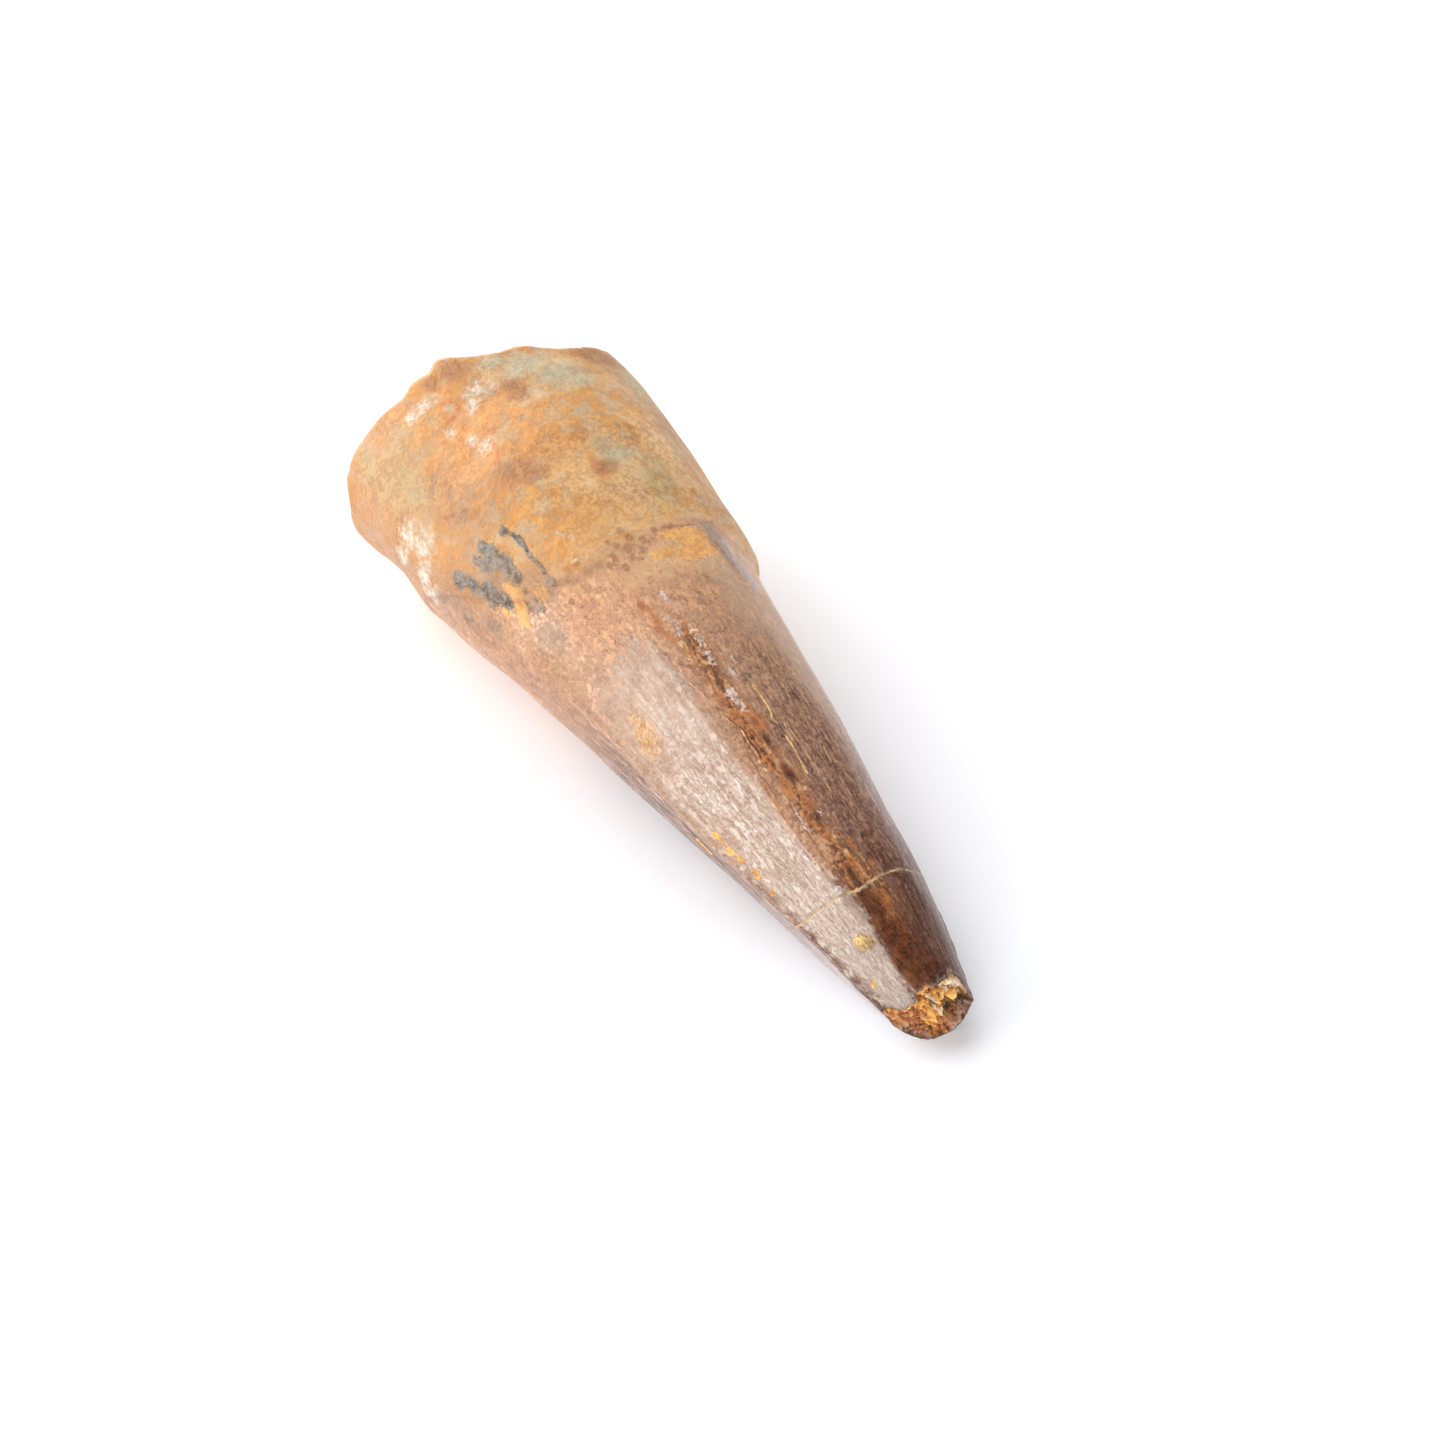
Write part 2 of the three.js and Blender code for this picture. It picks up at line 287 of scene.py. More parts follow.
def lines(rows, along, angle):
    """The same for lines. A row is (half width, (along, angle), (along, angle), ...)."""
    half_width = through(TAPER, along)
    nearest = np.full_like(along, FAR)
    for half_breadth, *path in rows:
        for (from_along, from_angle), (to_along, to_angle) in zip(path, path[1:]):
            step = to_along - from_along
            swing = np.radians(to_angle - from_angle) * half_width
            ahead = along - from_along
            aside = np.radians(turn(from_angle, angle)) * half_width
            share = (ahead * step + aside * swing) / (step**2 + swing**2)
            share = np.clip(share, 0, 1)
            away = np.hypot(ahead - share * step, aside - share * swing)
            nearest = np.maximum(nearest, 1 - away / (2 * half_breadth))
    return nearest


# ---------------------------------------------------------------- what lies on the skin

# Where the pale flank begins, worn enamel whose paleness is partly painted sheen: (along, angle)
PALE_EDGE = [
    (30, 116), (40, 114), (45.6, 117), (51.5, 120), (53.4, 117), (58.5, 122), (62, 122), (64, 118),
    (66, 114), (70, 118), (74, 125),
]
PALE_STARTS = (29, 42)  # and how far along it is fully pale
PALE_SOFTNESS = 3  # mm over which its edges soften
PALE_SHORT_OF_CARINA = 0.3  # mm
CROWN_FADES_IN = (3.0, 9.0)  # mm over which the crown's colour comes in, top and left flank
CROWN_FADE_TURNS = (85, 125)  # and the angles between which one becomes the other
WHOLE_LENGTH = 76  # how far along the mark of length reaches 1

# The enamel under the carina, lilac-grey close to it by a painted reflection, starts this far past it,
# softens over so much and ends at an angle
UNDER_STARTS = 0.15
UNDER_SOFTNESS = 1.5
UNDER_ENDS = 250
# The painted shadow line along the carina: degrees past it, its reach in mm, and where it starts
CARINA_LINE_PAST = 1.5
CARINA_LINE_REACH = 0.2
CARINA_LINE_STARTS = (33, 42)
NODULE_REACH = 2.2  # of the nodule's mark, in its own half widths
ROCK_STARTS = (0.02, 0.07)  # shares of the radius, from the edge of a broken face

# The rusty belt between the pale flank and the brown: degrees before the edge, half width,
# and the millimetres over which it starts
BELT_LIES = 15.0
BELT_HALF_WIDTH = 1.3
BELT_STARTS = (31, 40)

# How far the crown's brown has deepened, from the ledge to the tip: (along, share)
DEPTH_OF_BROWN = [
    (26, 0.0), (33, 0.07), (40, 0.26), (46, 0.37), (55, 0.58), (62, 0.77), (68, 1.0), (75, 1.15),
]

# Each stain, and the painted shade, sheen and reflections among the rows: its name, light and dark
# colour, how much it hides, roughness, rise in mm, how ragged and how soft its edge is, its patches,
# then its
# lines. Patch: (along, angle, half length, half width, slant). Line: (half width, (along, angle),
# (along, angle), ...).
STAINS = [
    # Painted shade: the dentine of the root's left flank made darker
    ("browned dentine", "#9C7046", "#7C5233", 0.85, 0.75, 0.0, 0.8, 0.35, [
        (6, 160, 8, 7, 0), (22, 174, 9, 5, 0), (14, 142, 6, 4, 0), (31, 168, 5, 3, 0),
        (3, 140, 4, 4, 0),
    ], []),
    ("dusty dentine", "#D8B486", "#BE9466", 0.75, 0.8, 0.0, 1.0, 0.35, [
        (22.5, 82, 4.0, 5.0, 0), (20, 55, 4, 2, 0), (26, 100, 2, 4, 0), (31, 72, 1.5, 5, 0),
    ], []),
    ("purple-brown film", "#9E7C68", "#7A5A48", 0.7, 0.6, 0.0, 1.0, 0.35, [
        (16, 190, 14, 3.5, 0), (30, 186, 8, 2.5, 0),
    ], []),
    # Painted sheen: grey along the right flank of root and crown
    ("grey dust", "#B8A08C", "#9A8068", 0.55, 0.8, 0.0, 1.0, 0.35, [
        (18, 38, 14, 2.5, 0), (10, 46, 4, 2.0, 0), (38, 36, 8, 2.0, 0), (34, 60, 5, 1.5, 0),
    ], []),
    ("iron-stained dentine", "#C28A4C", "#AC7036", 0.7, 0.75, 0.0, 0.9, 0.35, [
        (8.5, 118, 7.0, 3.6, 5), (5, 105, 3.0, 2.6, 0), (16, 104, 3, 3, 0), (25, 112, 2, 4, 0),
    ], []),
    ("olive clay", "#A09068", "#857A56", 0.55, 0.8, 0.0, 1.0, 0.3, [
        (3.2, 156, 1.2, 1.2, 0), (4.8, 158, 1.4, 1.6, 0), (5.8, 140, 1.5, 1.4, 0),
        (6.7, 126, 0.9, 0.6, 0), (8.5, 150, 2.4, 2.6, 0), (11.2, 150, 1.6, 1.4, 0),
        (19.2, 82, 1.2, 0.8, 0), (23.5, 66, 2.4, 1.6, 0), (11.6, 41, 0.9, 0.5, 0),
        (18.1, 41, 0.6, 0.4, 0),
    ], []),
    ("grey-green clay", "#B0A78A", "#979680", 0.8, 0.85, 0.0, 0.9, 0.25, [
        (4.9, 93, 0.9, 1.6, 0), (6.5, 84, 1.7, 2.6, 0), (9.0, 74, 2.0, 2.6, 0), (10.3, 68, 1.0, 1.3, 0),
        (20.3, 78, 0.7, 1.5, 0), (8.9, 35, 1.8, 1.5, 0),
    ], []),
    ("brown iron crust", "#94623E", "#6E4228", 0.65, 0.7, 0.02, 1.2, 0.15, [
        (3.7, 107, 1.4, 1.2, 0), (3.6, 116, 0.8, 0.8, 0), (5.9, 49, 1.4, 2.6, 0),
        (9.3, 94, 1.6, 0.9, 0), (17.6, 115, 1.3, 2.0, 30), (19.0, 110, 0.9, 1.2, 0),
        (28.2, 74, 0.35, 1.0, 0), (28.9, 61, 0.3, 1.3, 0), (21.2, 86, 0.7, 1.2, 0),
        (21.5, 183, 2.5, 0.7, 0), (27.2, 96, 0.3, 0.35, 0), (27.9, 94, 0.35, 0.4, 0),
        (28.6, 97, 0.3, 0.5, 0), (28.2, 101, 0.3, 0.35, 0), (28.8, 105, 0.4, 0.4, 0),
        (27.6, 104, 0.3, 0.3, 0), (29.6, 98, 0.4, 0.3, 0), (29.4, 92, 0.3, 0.3, 0),
        (28.4, 89, 0.3, 0.35, 0), (30.2, 103, 0.4, 0.3, 0), (28.1, 82, 0.25, 0.4, 0),
        (29.3, 108, 0.35, 0.3, 0), (30.0, 95, 0.3, 0.25, 0),
    ], [
        (0.16, (15.2, 148), (16.2, 144), (16.8, 139)),
    ]),
    ("tan margin", "#B08A6C", "#8A6248", 0.75, 0.4, 0.0, 1.0, 0.3, [], [
        (0.8, (44, 112), (50, 113), (54, 112), (58, 114), (62, 113)),
    ]),
    ("chalk", "#C6C1B5", "#AC9F88", 0.75, 0.9, 0.03, 0.9, 0.35, [
        (7.3, 105, 0.75, 1.1, 25), (7.1, 109, 0.6, 0.6, 0), (6.2, 103, 0.5, 0.5, 0),
        (8.0, 110, 0.9, 0.45, 30), (5.1, 130, 0.6, 0.6, 0), (5.1, 124, 0.5, 1.2, 0),
        (13.1, 117, 0.6, 0.7, 0), (11.8, 120, 0.5, 0.5, 0), (7.2, 118, 0.4, 0.4, 0),
        (9.2, 124, 0.6, 0.4, 0), (12.3, 166, 1.0, 1.1, 0), (14.3, 165, 0.9, 1.5, -10),
        (14.9, 175, 0.7, 1.9, 0), (16.2, 185, 0.7, 1.3, 20), (11.8, 178, 0.6, 1.2, 10),
    ], [
        (0.14, (24.3, 118), (25.6, 114)), (0.12, (26.9, 124), (27.3, 118)),
    ]),
    ("haematite", "#BA7040", "#96502C", 0.65, 0.75, 0.0, 0.7, 0.3, [
        (7.1, 112, 0.3, 0.3, 0), (10.0, 119, 0.35, 0.35, 0), (12.4, 111, 0.3, 0.3, 0),
        (10.7, 139, 0.5, 0.3, 0), (21.0, 88, 1.2, 0.5, 0), (22.4, 179, 0.35, 0.2, 0),
        (24.8, 183, 0.35, 0.2, 0),
    ], [
        (0.28, (6.2, 119), (6.3, 116), (7.0, 114.5), (7.9, 116), (8.3, 119), (8.2, 121)),
        (0.2, (13.2, 114), (14.8, 116), (15.6, 119)),
    ]),
    ("manganese", "#756F67", "#1A1815", 0.95, 0.6, 0.04, 1.0, 0.1, [
        (20.4, 144.5, 0.8, 0.7, 0), (21.8, 144, 1.3, 0.9, -15), (23.2, 143, 1.3, 0.75, 0),
        (24.4, 143, 0.6, 0.8, 0), (19.3, 165, 0.8, 1.0, 0), (20.8, 162, 1.0, 0.8, -20),
        (22.5, 158, 1.2, 0.9, -25), (24.4, 156, 1.1, 0.8, 0), (23.2, 161.5, 0.7, 0.6, 0),
        (27.2, 146, 0.65, 0.65, 20), (25.6, 145, 0.4, 0.35, 0), (20.9, 133.5, 0.45, 0.45, 0),
        (22.4, 131, 0.5, 0.4, 0), (27.0, 133, 0.6, 0.4, 0), (21.0, 150, 1.2, 0.5, -15),
        (26.0, 151, 0.9, 0.5, -10),
    ], [
        (0.22, (20.9, 133), (22.4, 131), (24.0, 132), (25.6, 132), (27.2, 133)),
    ]),
    ("grey manganese film", "#82705F", "#66584C", 0.55, 0.6, 0.0, 1.0, 0.3, [
        (19.2, 178, 1.0, 1.2, 0), (20.8, 180, 1.2, 0.9, 0), (23.6, 173, 1.4, 0.9, -15),
        (29.5, 152, 1.5, 1.6, 0), (17.3, 183, 0.6, 1.0, 0), (26.6, 138, 1.6, 1.0, 0),
        (22, 150, 2.2, 1.2, -15),
    ], []),
    ("brown outline", "#7A4E30", "#5E3A24", 0.8, 0.6, 0.0, 0.9, 0.2, [], [
        (0.1, (28.2, 76), (28.3, 70), (28.1, 64), (28.6, 58), (29.6, 54), (31.0, 55)),
        (0.08, (30.8, 60), (31.6, 66), (31.9, 72), (31.2, 79)),
        (0.07, (41.9, 111.5), (43.2, 110.6), (44.5, 109.7)),
        (0.07, (56.0, 110), (57.5, 111), (59.5, 112.5), (62.0, 114)),
        (0.06, (50.5, 113), (52.5, 114), (55.0, 114.5)),
    ]),
    ("ochre", "#DDA45C", "#C0864A", 0.95, 0.85, 0.06, 0.6, 0.1, [
        (28.9, 76, 0.55, 1.2, 0), (29.4, 68, 1.1, 1.6, 0), (30.2, 61, 1.2, 0.9, 10),
        (30.9, 70, 0.7, 2.0, 0), (30.4, 84, 0.45, 1.3, 0), (30.2, 89, 0.35, 0.5, 0),
        (24.1, 150, 0.5, 0.5, 0), (25.2, 149, 0.8, 0.8, 0), (25.9, 153, 0.8, 0.7, 0),
        (26.6, 157, 0.8, 0.4, 0), (24.8, 161, 0.5, 0.35, 0), (26.8, 140, 0.8, 0.7, 0),
    ], []),
    ("ochre dust", "#9E7A5E", "#7E5A3C", 0.6, 0.7, 0.0, 1.1, 0.25, [
        (26, 141, 1.8, 2.6, 0), (41.6, 150, 0.7, 0.6, 0), (41.9, 155, 1.1, 0.7, 10),
        (40.8, 165, 1.6, 1.0, 0), (43.2, 167, 1.6, 1.0, 0), (53.0, 163, 1.6, 0.6, 0),
        (35.0, 150, 1.4, 1.0, 0), (33.6, 163, 2.4, 1.0, 5), (38.0, 161, 1.2, 0.9, 0),
        (39.5, 158, 3.0, 2.2, 0), (43.5, 160, 2.4, 1.6, 0),
    ], [
        (0.45, (29.5, 163), (32.1, 164), (35.4, 168), (38.2, 172), (41.2, 174.5)),
        (0.3, (41.2, 175), (44.2, 174.5), (45.9, 172), (47.2, 173.5), (50.9, 173), (52.5, 174.5)),
        (0.1, (33.0, 164), (34.6, 156), (36.1, 152), (37.0, 146)),
        (0.35, (27.2, 133), (28.2, 127), (28.6, 121), (28.8, 112)),
    ]),
    ("golden granules", "#D2A468", "#A87844", 0.6, 0.7, 0.04, 1.3, 0.2, [
        (41.3, 151, 1.3, 0.9, 0), (42.4, 155, 1.3, 0.9, 10), (43.0, 150, 0.8, 0.6, 0),
    ], [
        (0.06, (33.0, 164), (34.6, 156), (36.1, 152), (37.0, 146)),
    ]),
    ("rust", "#B06A2C", "#7A3F1A", 0.85, 0.5, 0.0, 1.1, 0.25, [
        (34.0, 108, 0.9, 0.4, 0), (35.6, 107, 1.4, 0.4, 5), (37.2, 106.5, 1.0, 0.35, 0),
        (47.2, 104, 1.0, 0.45, 0), (48.6, 105.5, 0.9, 0.35, 0), (46.9, 98.5, 0.8, 0.5, 0),
        (48.4, 95, 1.1, 0.6, 0), (45.2, 105, 0.7, 0.35, 0), (51.9, 104.5, 0.9, 0.35, 0),
        (54.9, 105.5, 0.9, 0.3, 0), (58.2, 106, 0.9, 0.25, 0), (56.8, 100, 0.9, 0.4, 0),
        (60.0, 103, 0.7, 0.35, 0), (63.2, 99, 0.5, 0.35, 0), (63.9, 82, 0.3, 0.25, 0),
        (61.9, 90, 0.6, 0.3, 0), (67.2, 90, 1.0, 0.4, 0), (69.0, 103, 0.8, 0.35, 0),
        (70.5, 92, 0.9, 0.4, 0), (71.8, 101, 0.7, 0.35, 0), (73.2, 98, 0.8, 0.5, 0),
        (73.6, 84, 0.7, 0.4, 0),
    ], [
        (0.11, (53.2, 116.5), (54.6, 118), (55.9, 117.5), (57.6, 119.5)),
    ]),
    ("near-black enamel", "#592C1B", "#1C0905", 0.9, 0.25, 0.0, 1.2, 0.25, [
        (53.7, 98, 0.9, 0.35, 0), (50.2, 97, 0.7, 0.25, 0), (58.6, 101, 0.7, 0.25, 0),
        (64.0, 104, 0.7, 0.3, 0), (66.0, 104, 0.9, 0.5, 0), (68.2, 108, 1.2, 0.45, -8),
        (70.3, 113, 1.4, 0.45, -6), (72.4, 113, 1.2, 0.4, 0), (71.0, 106, 1.2, 0.35, 0),
        (67.8, 98, 0.8, 0.3, 0), (74.0, 92, 1.8, 2.0, 0), (71.5, 100, 3.4, 1.3, 0),
        (67.2, 103, 2.0, 0.7, 0), (69.0, 106, 1.6, 0.5, 0),
    ], [
        (0.09, (45.4, 110.5), (46.9, 108.5), (48.2, 106.5), (50.0, 105.8), (51.4, 107)),
        (0.09, (70.5, 116.5), (72.5, 118.5), (73.8, 124), (74.6, 131)),
    ]),
    ("shadowed enamel", "#8A6C5C", "#6E5040", 0.8, 0.4, 0.0, 0.6, 0.4, [], [
        (0.5, (29.9, 56), (30.8, 54), (31.9, 52), (33.2, 47)),
    ]),
    # Painted reflection: a light grey streak below the ledge on the right
    ("glossy grey enamel", "#A99B95", "#8C7C76", 0.9, 0.25, 0.0, 0.4, 0.3, [], [
        (0.75, (28.4, 55), (29.1, 52), (29.9, 50), (30.8, 50), (32.0, 46), (33.8, 40)),
    ]),
    ("lavender bloom", "#CFC4C0", "#8E7A70", 0.7, 0.6, 0.0, 1.8, 0.15, [
        (34.2, 97, 0.6, 0.3, 0), (35.6, 95, 0.5, 0.25, 10), (36.3, 101, 0.7, 0.3, 0),
        (37.4, 101, 0.5, 0.25, 0), (39.1, 95, 0.5, 0.3, 0), (40.8, 96.5, 0.8, 0.3, 0),
        (45.1, 98, 0.7, 0.35, 0), (46.1, 97.5, 0.6, 0.3, 0), (42.2, 85.5, 0.6, 0.12, 0),
        (43.2, 90, 0.6, 0.15, 0), (58.3, 97, 0.3, 0.15, 0), (58.0, 110, 0.7, 0.12, 5),
        (64.6, 120, 0.3, 0.2, 0),
    ], [
        (0.15, (30.4, 39), (31.8, 28)),
    ]),
    ("vein filling", "#E6B878", "#B47C3C", 0.95, 0.8, 0.03, 0.5, 0.1, [
        (71.4, 163, 0.35, 0.35, 0), (50.8, 187, 0.5, 0.3, 0), (51.9, 188, 0.5, 0.25, 0),
    ], [
        (0.08, (47.2, 83), (48.4, 86), (49.2, 85.5)),
        (0.088, (50.4, 85), (51.2, 85), (52.3, 86), (53.8, 87), (54.5, 87)),
        (0.056, (49.1, 81), (50.0, 80), (51.0, 80), (52.5, 79), (54.0, 78.5)),
        (0.04, (54.0, 78.5), (55.2, 80), (55.8, 79.5), (57.7, 83)),
        (0.04, (47.4, 68), (48.9, 67), (51.2, 64.5), (53.1, 65), (54.4, 65)),
        (0.04, (48.6, 52), (49.8, 51)), (0.04, (51.6, 53), (52.2, 52)),
        (0.04, (32.8, 62.5), (34.6, 63), (36.5, 64), (38.2, 64)),
        (0.04, (40.6, 67), (43.0, 67.5), (45.0, 67), (47.4, 68)), (0.04, (44.4, 51.5), (46.9, 51.5)),
        (0.048, (39.5, 111.5), (41.9, 113), (43.2, 112), (44.5, 111), (46.7, 109.2)),
        (0.056, (46.7, 109.2), (48.0, 107.3), (49.7, 106.8), (50.7, 107.6), (51.6, 109), (52.7, 109.6)),
        (0.04, (59.5, 77), (61.0, 77.5)), (0.04, (61.5, 56), (63.0, 56)),
        (0.096, (44.8, 85), (46.0, 84.5), (47.6, 84)),
    ]),
    ("ochre lumps", "#E0A550", "#A46A2C", 0.9, 0.85, 0.06, 1.1, 0.08, [
        (52.8, 169.5, 0.7, 0.28, 5), (54.4, 170, 0.6, 0.3, 0), (55.5, 168.7, 0.6, 0.3, -10),
        (57.5, 169, 0.5, 0.3, 0), (59.5, 171, 0.4, 0.2, 0), (41.4, 151, 0.3, 0.2, 0),
        (42.6, 156, 0.4, 0.25, 0),
    ], []),
]

# How wide the crack's filling is, as a share of the crack: (angle, share)
CRACK_FILLING = [
    (0, 0.4), (55, 0.4), (70, 0.6), (95, 0.75), (108, 0.95), (118, 0.6), (180, 0.5),
]

# Minerals of the broken tip, and painted shade in its hollows: name, light and dark colour, how much it
# hides, then (towards +Y, up, radius) as shares of the face
ROCK_STAINS = [
    ("tip iron", "#C88A5E", "#8C4C28", 0.75, [
        (-0.5, -0.35, 0.5), (0.3, -0.8, 0.35), (0.72, 0.58, 0.15), (0.12, 0.3, 0.15),
    ]),
    # Painted shade: dark in the hollows of the broken tip
    ("shaded tip hollows", "#543014", "#1E0D05", 0.95, [
        (0.72, 0.0, 0.3), (0.66, 0.12, 0.26), (0.78, -0.1, 0.24), (0.5, -0.3, 0.22), (0.4, 0.12, 0.14),
        (0.0, 0.08, 0.12),
    ]),
    ("tip olive", "#9C8448", "#4A3818", 0.8, [
        (0.32, -0.25, 0.14), (0.59, -0.05, 0.12), (-0.66, -0.48, 0.1), (0.44, 0.0, 0.1),
    ]),
    ("tip limonite", "#EBB45C", "#A8661E", 0.9, [
        (-0.11, -0.05, 0.16), (0.0, -0.16, 0.14), (0.11, -0.27, 0.13), (-0.1, -0.49, 0.16),
        (0.25, 0.3, 0.14), (-0.25, 0.15, 0.14), (0.05, 0.3, 0.14), (0.45, 0.35, 0.1),
    ]),
    ("tip calcite", "#DCCDB8", "#8E7458", 0.8, [
        (0.38, 0.66, 0.14), (0.55, 0.62, 0.12), (0.74, 0.55, 0.12), (-0.07, 0.44, 0.07),
        (0.02, 0.02, 0.06), (0.15, -0.1, 0.06), (0.03, -0.3, 0.05),
    ]),
    ("tip rim enamel", "#B08C80", "#7C5848", 0.85, [
        (0.97, -0.15, 0.1), (0.93, -0.3, 0.13), (0.86, -0.45, 0.15), (0.75, -0.62, 0.16),
        (0.58, -0.78, 0.16), (-0.75, -0.62, 0.16), (-0.55, -0.8, 0.16), (-0.3, -0.92, 0.14),
    ]),
]

# ---------------------------------------------------------------- the skin


def swelling(along, angle):
    total = 0
    for waves, length, phase, height in SWELLINGS:
        turned = waves * np.radians(angle) + 2 * math.pi * along / length + phase
        total = total + height * np.sin(turned)
    return total * lerp(1, SWELLING_ON_CROWN, smoothstep(along, *SWELLINGS_SINK))


def ledge(along, angle):
    past = along - ledge_line(angle)
    step = around(LEDGE, angle, 2)
    before_top = np.minimum(past + LEDGE_HALF_LENGTH, 0)
    after_foot = np.maximum(past - LEDGE_HALF_LENGTH, 0)
    above = step * LEDGE_SHARE_ABOVE * np.exp(before_top / LEDGE_FADE_ROOT)
    below = step * (LEDGE_SHARE_ABOVE - 1) * np.exp(-after_foot / LEDGE_FADE_CROWN)
    return lerp(above, below, smoothstep(past, -LEDGE_HALF_LENGTH, LEDGE_HALF_LENGTH))


def carinae(along, angle, half_width):
    line = through(CARINA, along)
    total = 0
    for edge in (line, line + 180):
        aside = np.radians(turn(edge, angle)) * half_width
        total = total + np.exp(-((aside / CARINA_HALF_THICKNESS) ** 2))
    worn = 1 + CARINA_NICKS * rough(skin_frame(along, 0 * angle), 1.3, 3, 14)
    return CARINA_HEIGHT * worn * smoothstep(along, CARINA_START, CARINA_FULL) * total


def flattening(along, angle, half_width):
    start = through(SHOULDER, along)
    end = through(CARINA, along)
    half = (end - start) / 2
    share = turn((start + end) / 2, angle) / half
    deepest = half_width * (1 - np.cos(np.radians(half)))
    return -through(FLATNESS, along) * deepest * np.maximum(1 - share * share, 0)


def nodule(along, angle, half_width):
    away = from_patch(NODULE, along, angle, half_width)
    grains = 1 + NODULE_GRAINS * rough(skin_frame(along, angle), 0.5, 2, 27)
    return NODULE_HEIGHT * grains * np.sqrt(np.maximum(1 - away * away, 0))


def crack_wander(cone):
    return CRACK_WANDER * rough(cone * (0, 1, 1), 1.2, 3, 11)


def weathering(along, angle):
    """The fine relief: a gritty root, a wrinkled crown and the crack across it."""
    cone = skin_frame(along, angle)
    place = cone * (1, 1.5, 1.5)
    past = along - ledge_line(angle)
    on_crown = smoothstep(past, -LEDGE_BLEND, LEDGE_BLEND)
    root = ROOT_GRIT * rough(place, 1.6, 3, 1) + ROOT_ROLL * rough(place, 6.0, 2, 4)
    wrinkles = CROWN_WRINKLES * rough(cone * (0.14, 1, 1), 0.8, 3, 8)
    across = around(CRACK, angle) + crack_wander(cone)
    crack = -CRACK_DEPTH * np.exp(-(((along - across) / CRACK_HALF_WIDTH) ** 2))
    to_tip = around(TIP_EDGE, angle) - along
    close_to_tip = smoothstep(TIP_CRUMBLING_REACH - to_tip, 0, TIP_CRUMBLING_REACH)
    crumbled = -TIP_CRUMBLING * np.abs(rough(cone, 1.6, 3, 33)) * close_to_tip
    return lerp(root, wrinkles, on_crown) + crack + crumbled


def skin(along, angle):
    """Points of the outer skin, in millimetres from the origin."""
    half_width = through(TAPER, along)
    half_height = half_width * HEIGHT_TO_WIDTH
    lift = (
        swelling(along, angle)
        + ledge(along, angle)
        + flattening(along, angle, half_width)
        + carinae(along, angle, half_width)
        + nodule(along, angle, half_width)
        + weathering(along, angle)
    )
    clear = smoothstep(np.abs(turn(270, angle)), *UNDERSIDE)
    lift = lerp(np.maximum(lift, 0), lift, clear)
    y = through(TAPER, along, 2) + (half_width + lift) * np.cos(np.radians(angle))
    z = half_height - WORN_FLAT + (half_height + lift) * np.sin(np.radians(angle))
    return np.stack([along, y, np.maximum(z, 0)], -1) - ORIGIN


# ---------------------------------------------------------------- the broken faces


def lumps(rows, across, up):
    total = 0
    for y, z, radius, rise in rows:
        total = total + rise * np.exp(-((across - y) ** 2 + (up - z) ** 2) / radius**2)
    return total


def root_relief(across, up, share):
    wall = 1 - ROOT_WALL + ROOT_WALL_WANDER * np.sin(3 * np.arctan2(up, across) + 1)
    inside = 1 - smoothstep(share, wall - ROOT_WALL_SLOPE, wall + ROOT_WALL_SLOPE)
    return inside * (ROOT_HOLLOW_DEPTH - lumps(ROOT_LUMPS, across, up))


def tip_relief(across, up, share):
    inside = 1 - smoothstep(share, TIP_RIM, 1)
    return inside * (lumps(TIP_LUMPS, across, up) - TIP_RIM_DROP)


def broken_face(edge, angle, share, relief, grit, size):
    """Points of a broken face inside its edge, and how high its grains stand there.
    Share is 0 in the middle and 1 at the edge."""
    across, up = np.cos(np.radians(angle)), np.sin(np.radians(angle))
    width = turn(np.roll(angle, 1), np.roll(angle, -1)) / 720
    middle = width @ edge
    lean = 2 * (width @ (edge[:, 0] * across)) * across + 2 * (width @ (edge[:, 0] * up)) * up
    chip = edge[:, 0] - middle[0] - lean
    share = share[:, None]
    points = lerp(middle, edge[None, :, :], share[..., None])
    points[..., 0] = middle[0] + lean * share + chip * share**CHIP_POWER
    points[..., 0] += relief(share * across, share * up, share)
    grains = GRAIN_LUMPS * np.abs(rough(points, size, 3, 23))
    grains = grains + GRAIN_GRIT * rough(points, size, 2, 17) - GRAIN_LEVEL
    points[..., 0] += grit * grains * smoothstep(1 - share, 0, GRAINS_START)
    return points, grains


def filled_face(edge, angle, rings, *ground):
    """A broken face in rings from its edge inwards: their shares, points, grains and its middle."""
    share = 1 - (np.arange(1, rings + 1) / (rings + 1)) ** RINGS_CROWDING
    points, grains = broken_face(edge, angle, share, *ground)
    middle = broken_face(edge, angle, np.zeros(1), *ground)[0][0, 0]
    return share, points, grains, middle


# ---------------------------------------------------------------- the mesh

turns = np.arange(AROUND) / AROUND
angles = VEINED + 180 + 360 * turns + CROWDING * np.degrees(np.sin(2 * np.pi * turns))
ring = skin_frame(np.zeros(AROUND), angles)
bites = rough(ring, 1.0, 3, 31)
chips = rough(ring, 2.2, 3, 37)
ring_lines = [
    around(ROOT_EDGE, angles) + ROOT_NOTCHES * np.maximum(bites, 0),
    ledge_line(angles) - LEDGE_HALF_LENGTH,
    ledge_line(angles) + LEDGE_HALF_LENGTH,
    around(CRACK, angles) - CRACK_RINGS_REACH,
    around(CRACK, angles) + CRACK_RINGS_REACH,
    around(TIP_EDGE, angles) - TIP_CHIPS * np.abs(chips),
]
skin_along = [ring_lines[0][None, :]]
for start, end, count in zip(ring_lines, ring_lines[1:], SKIN_RINGS):
    steps = np.arange(1, count + 1)[:, None] / count
    skin_along.append(lerp(start, end, steps))
skin_along = np.concatenate(skin_along)
skin_angle = np.broadcast_to(angles, skin_along.shape)
skin_points = skin(skin_along, skin_angle)

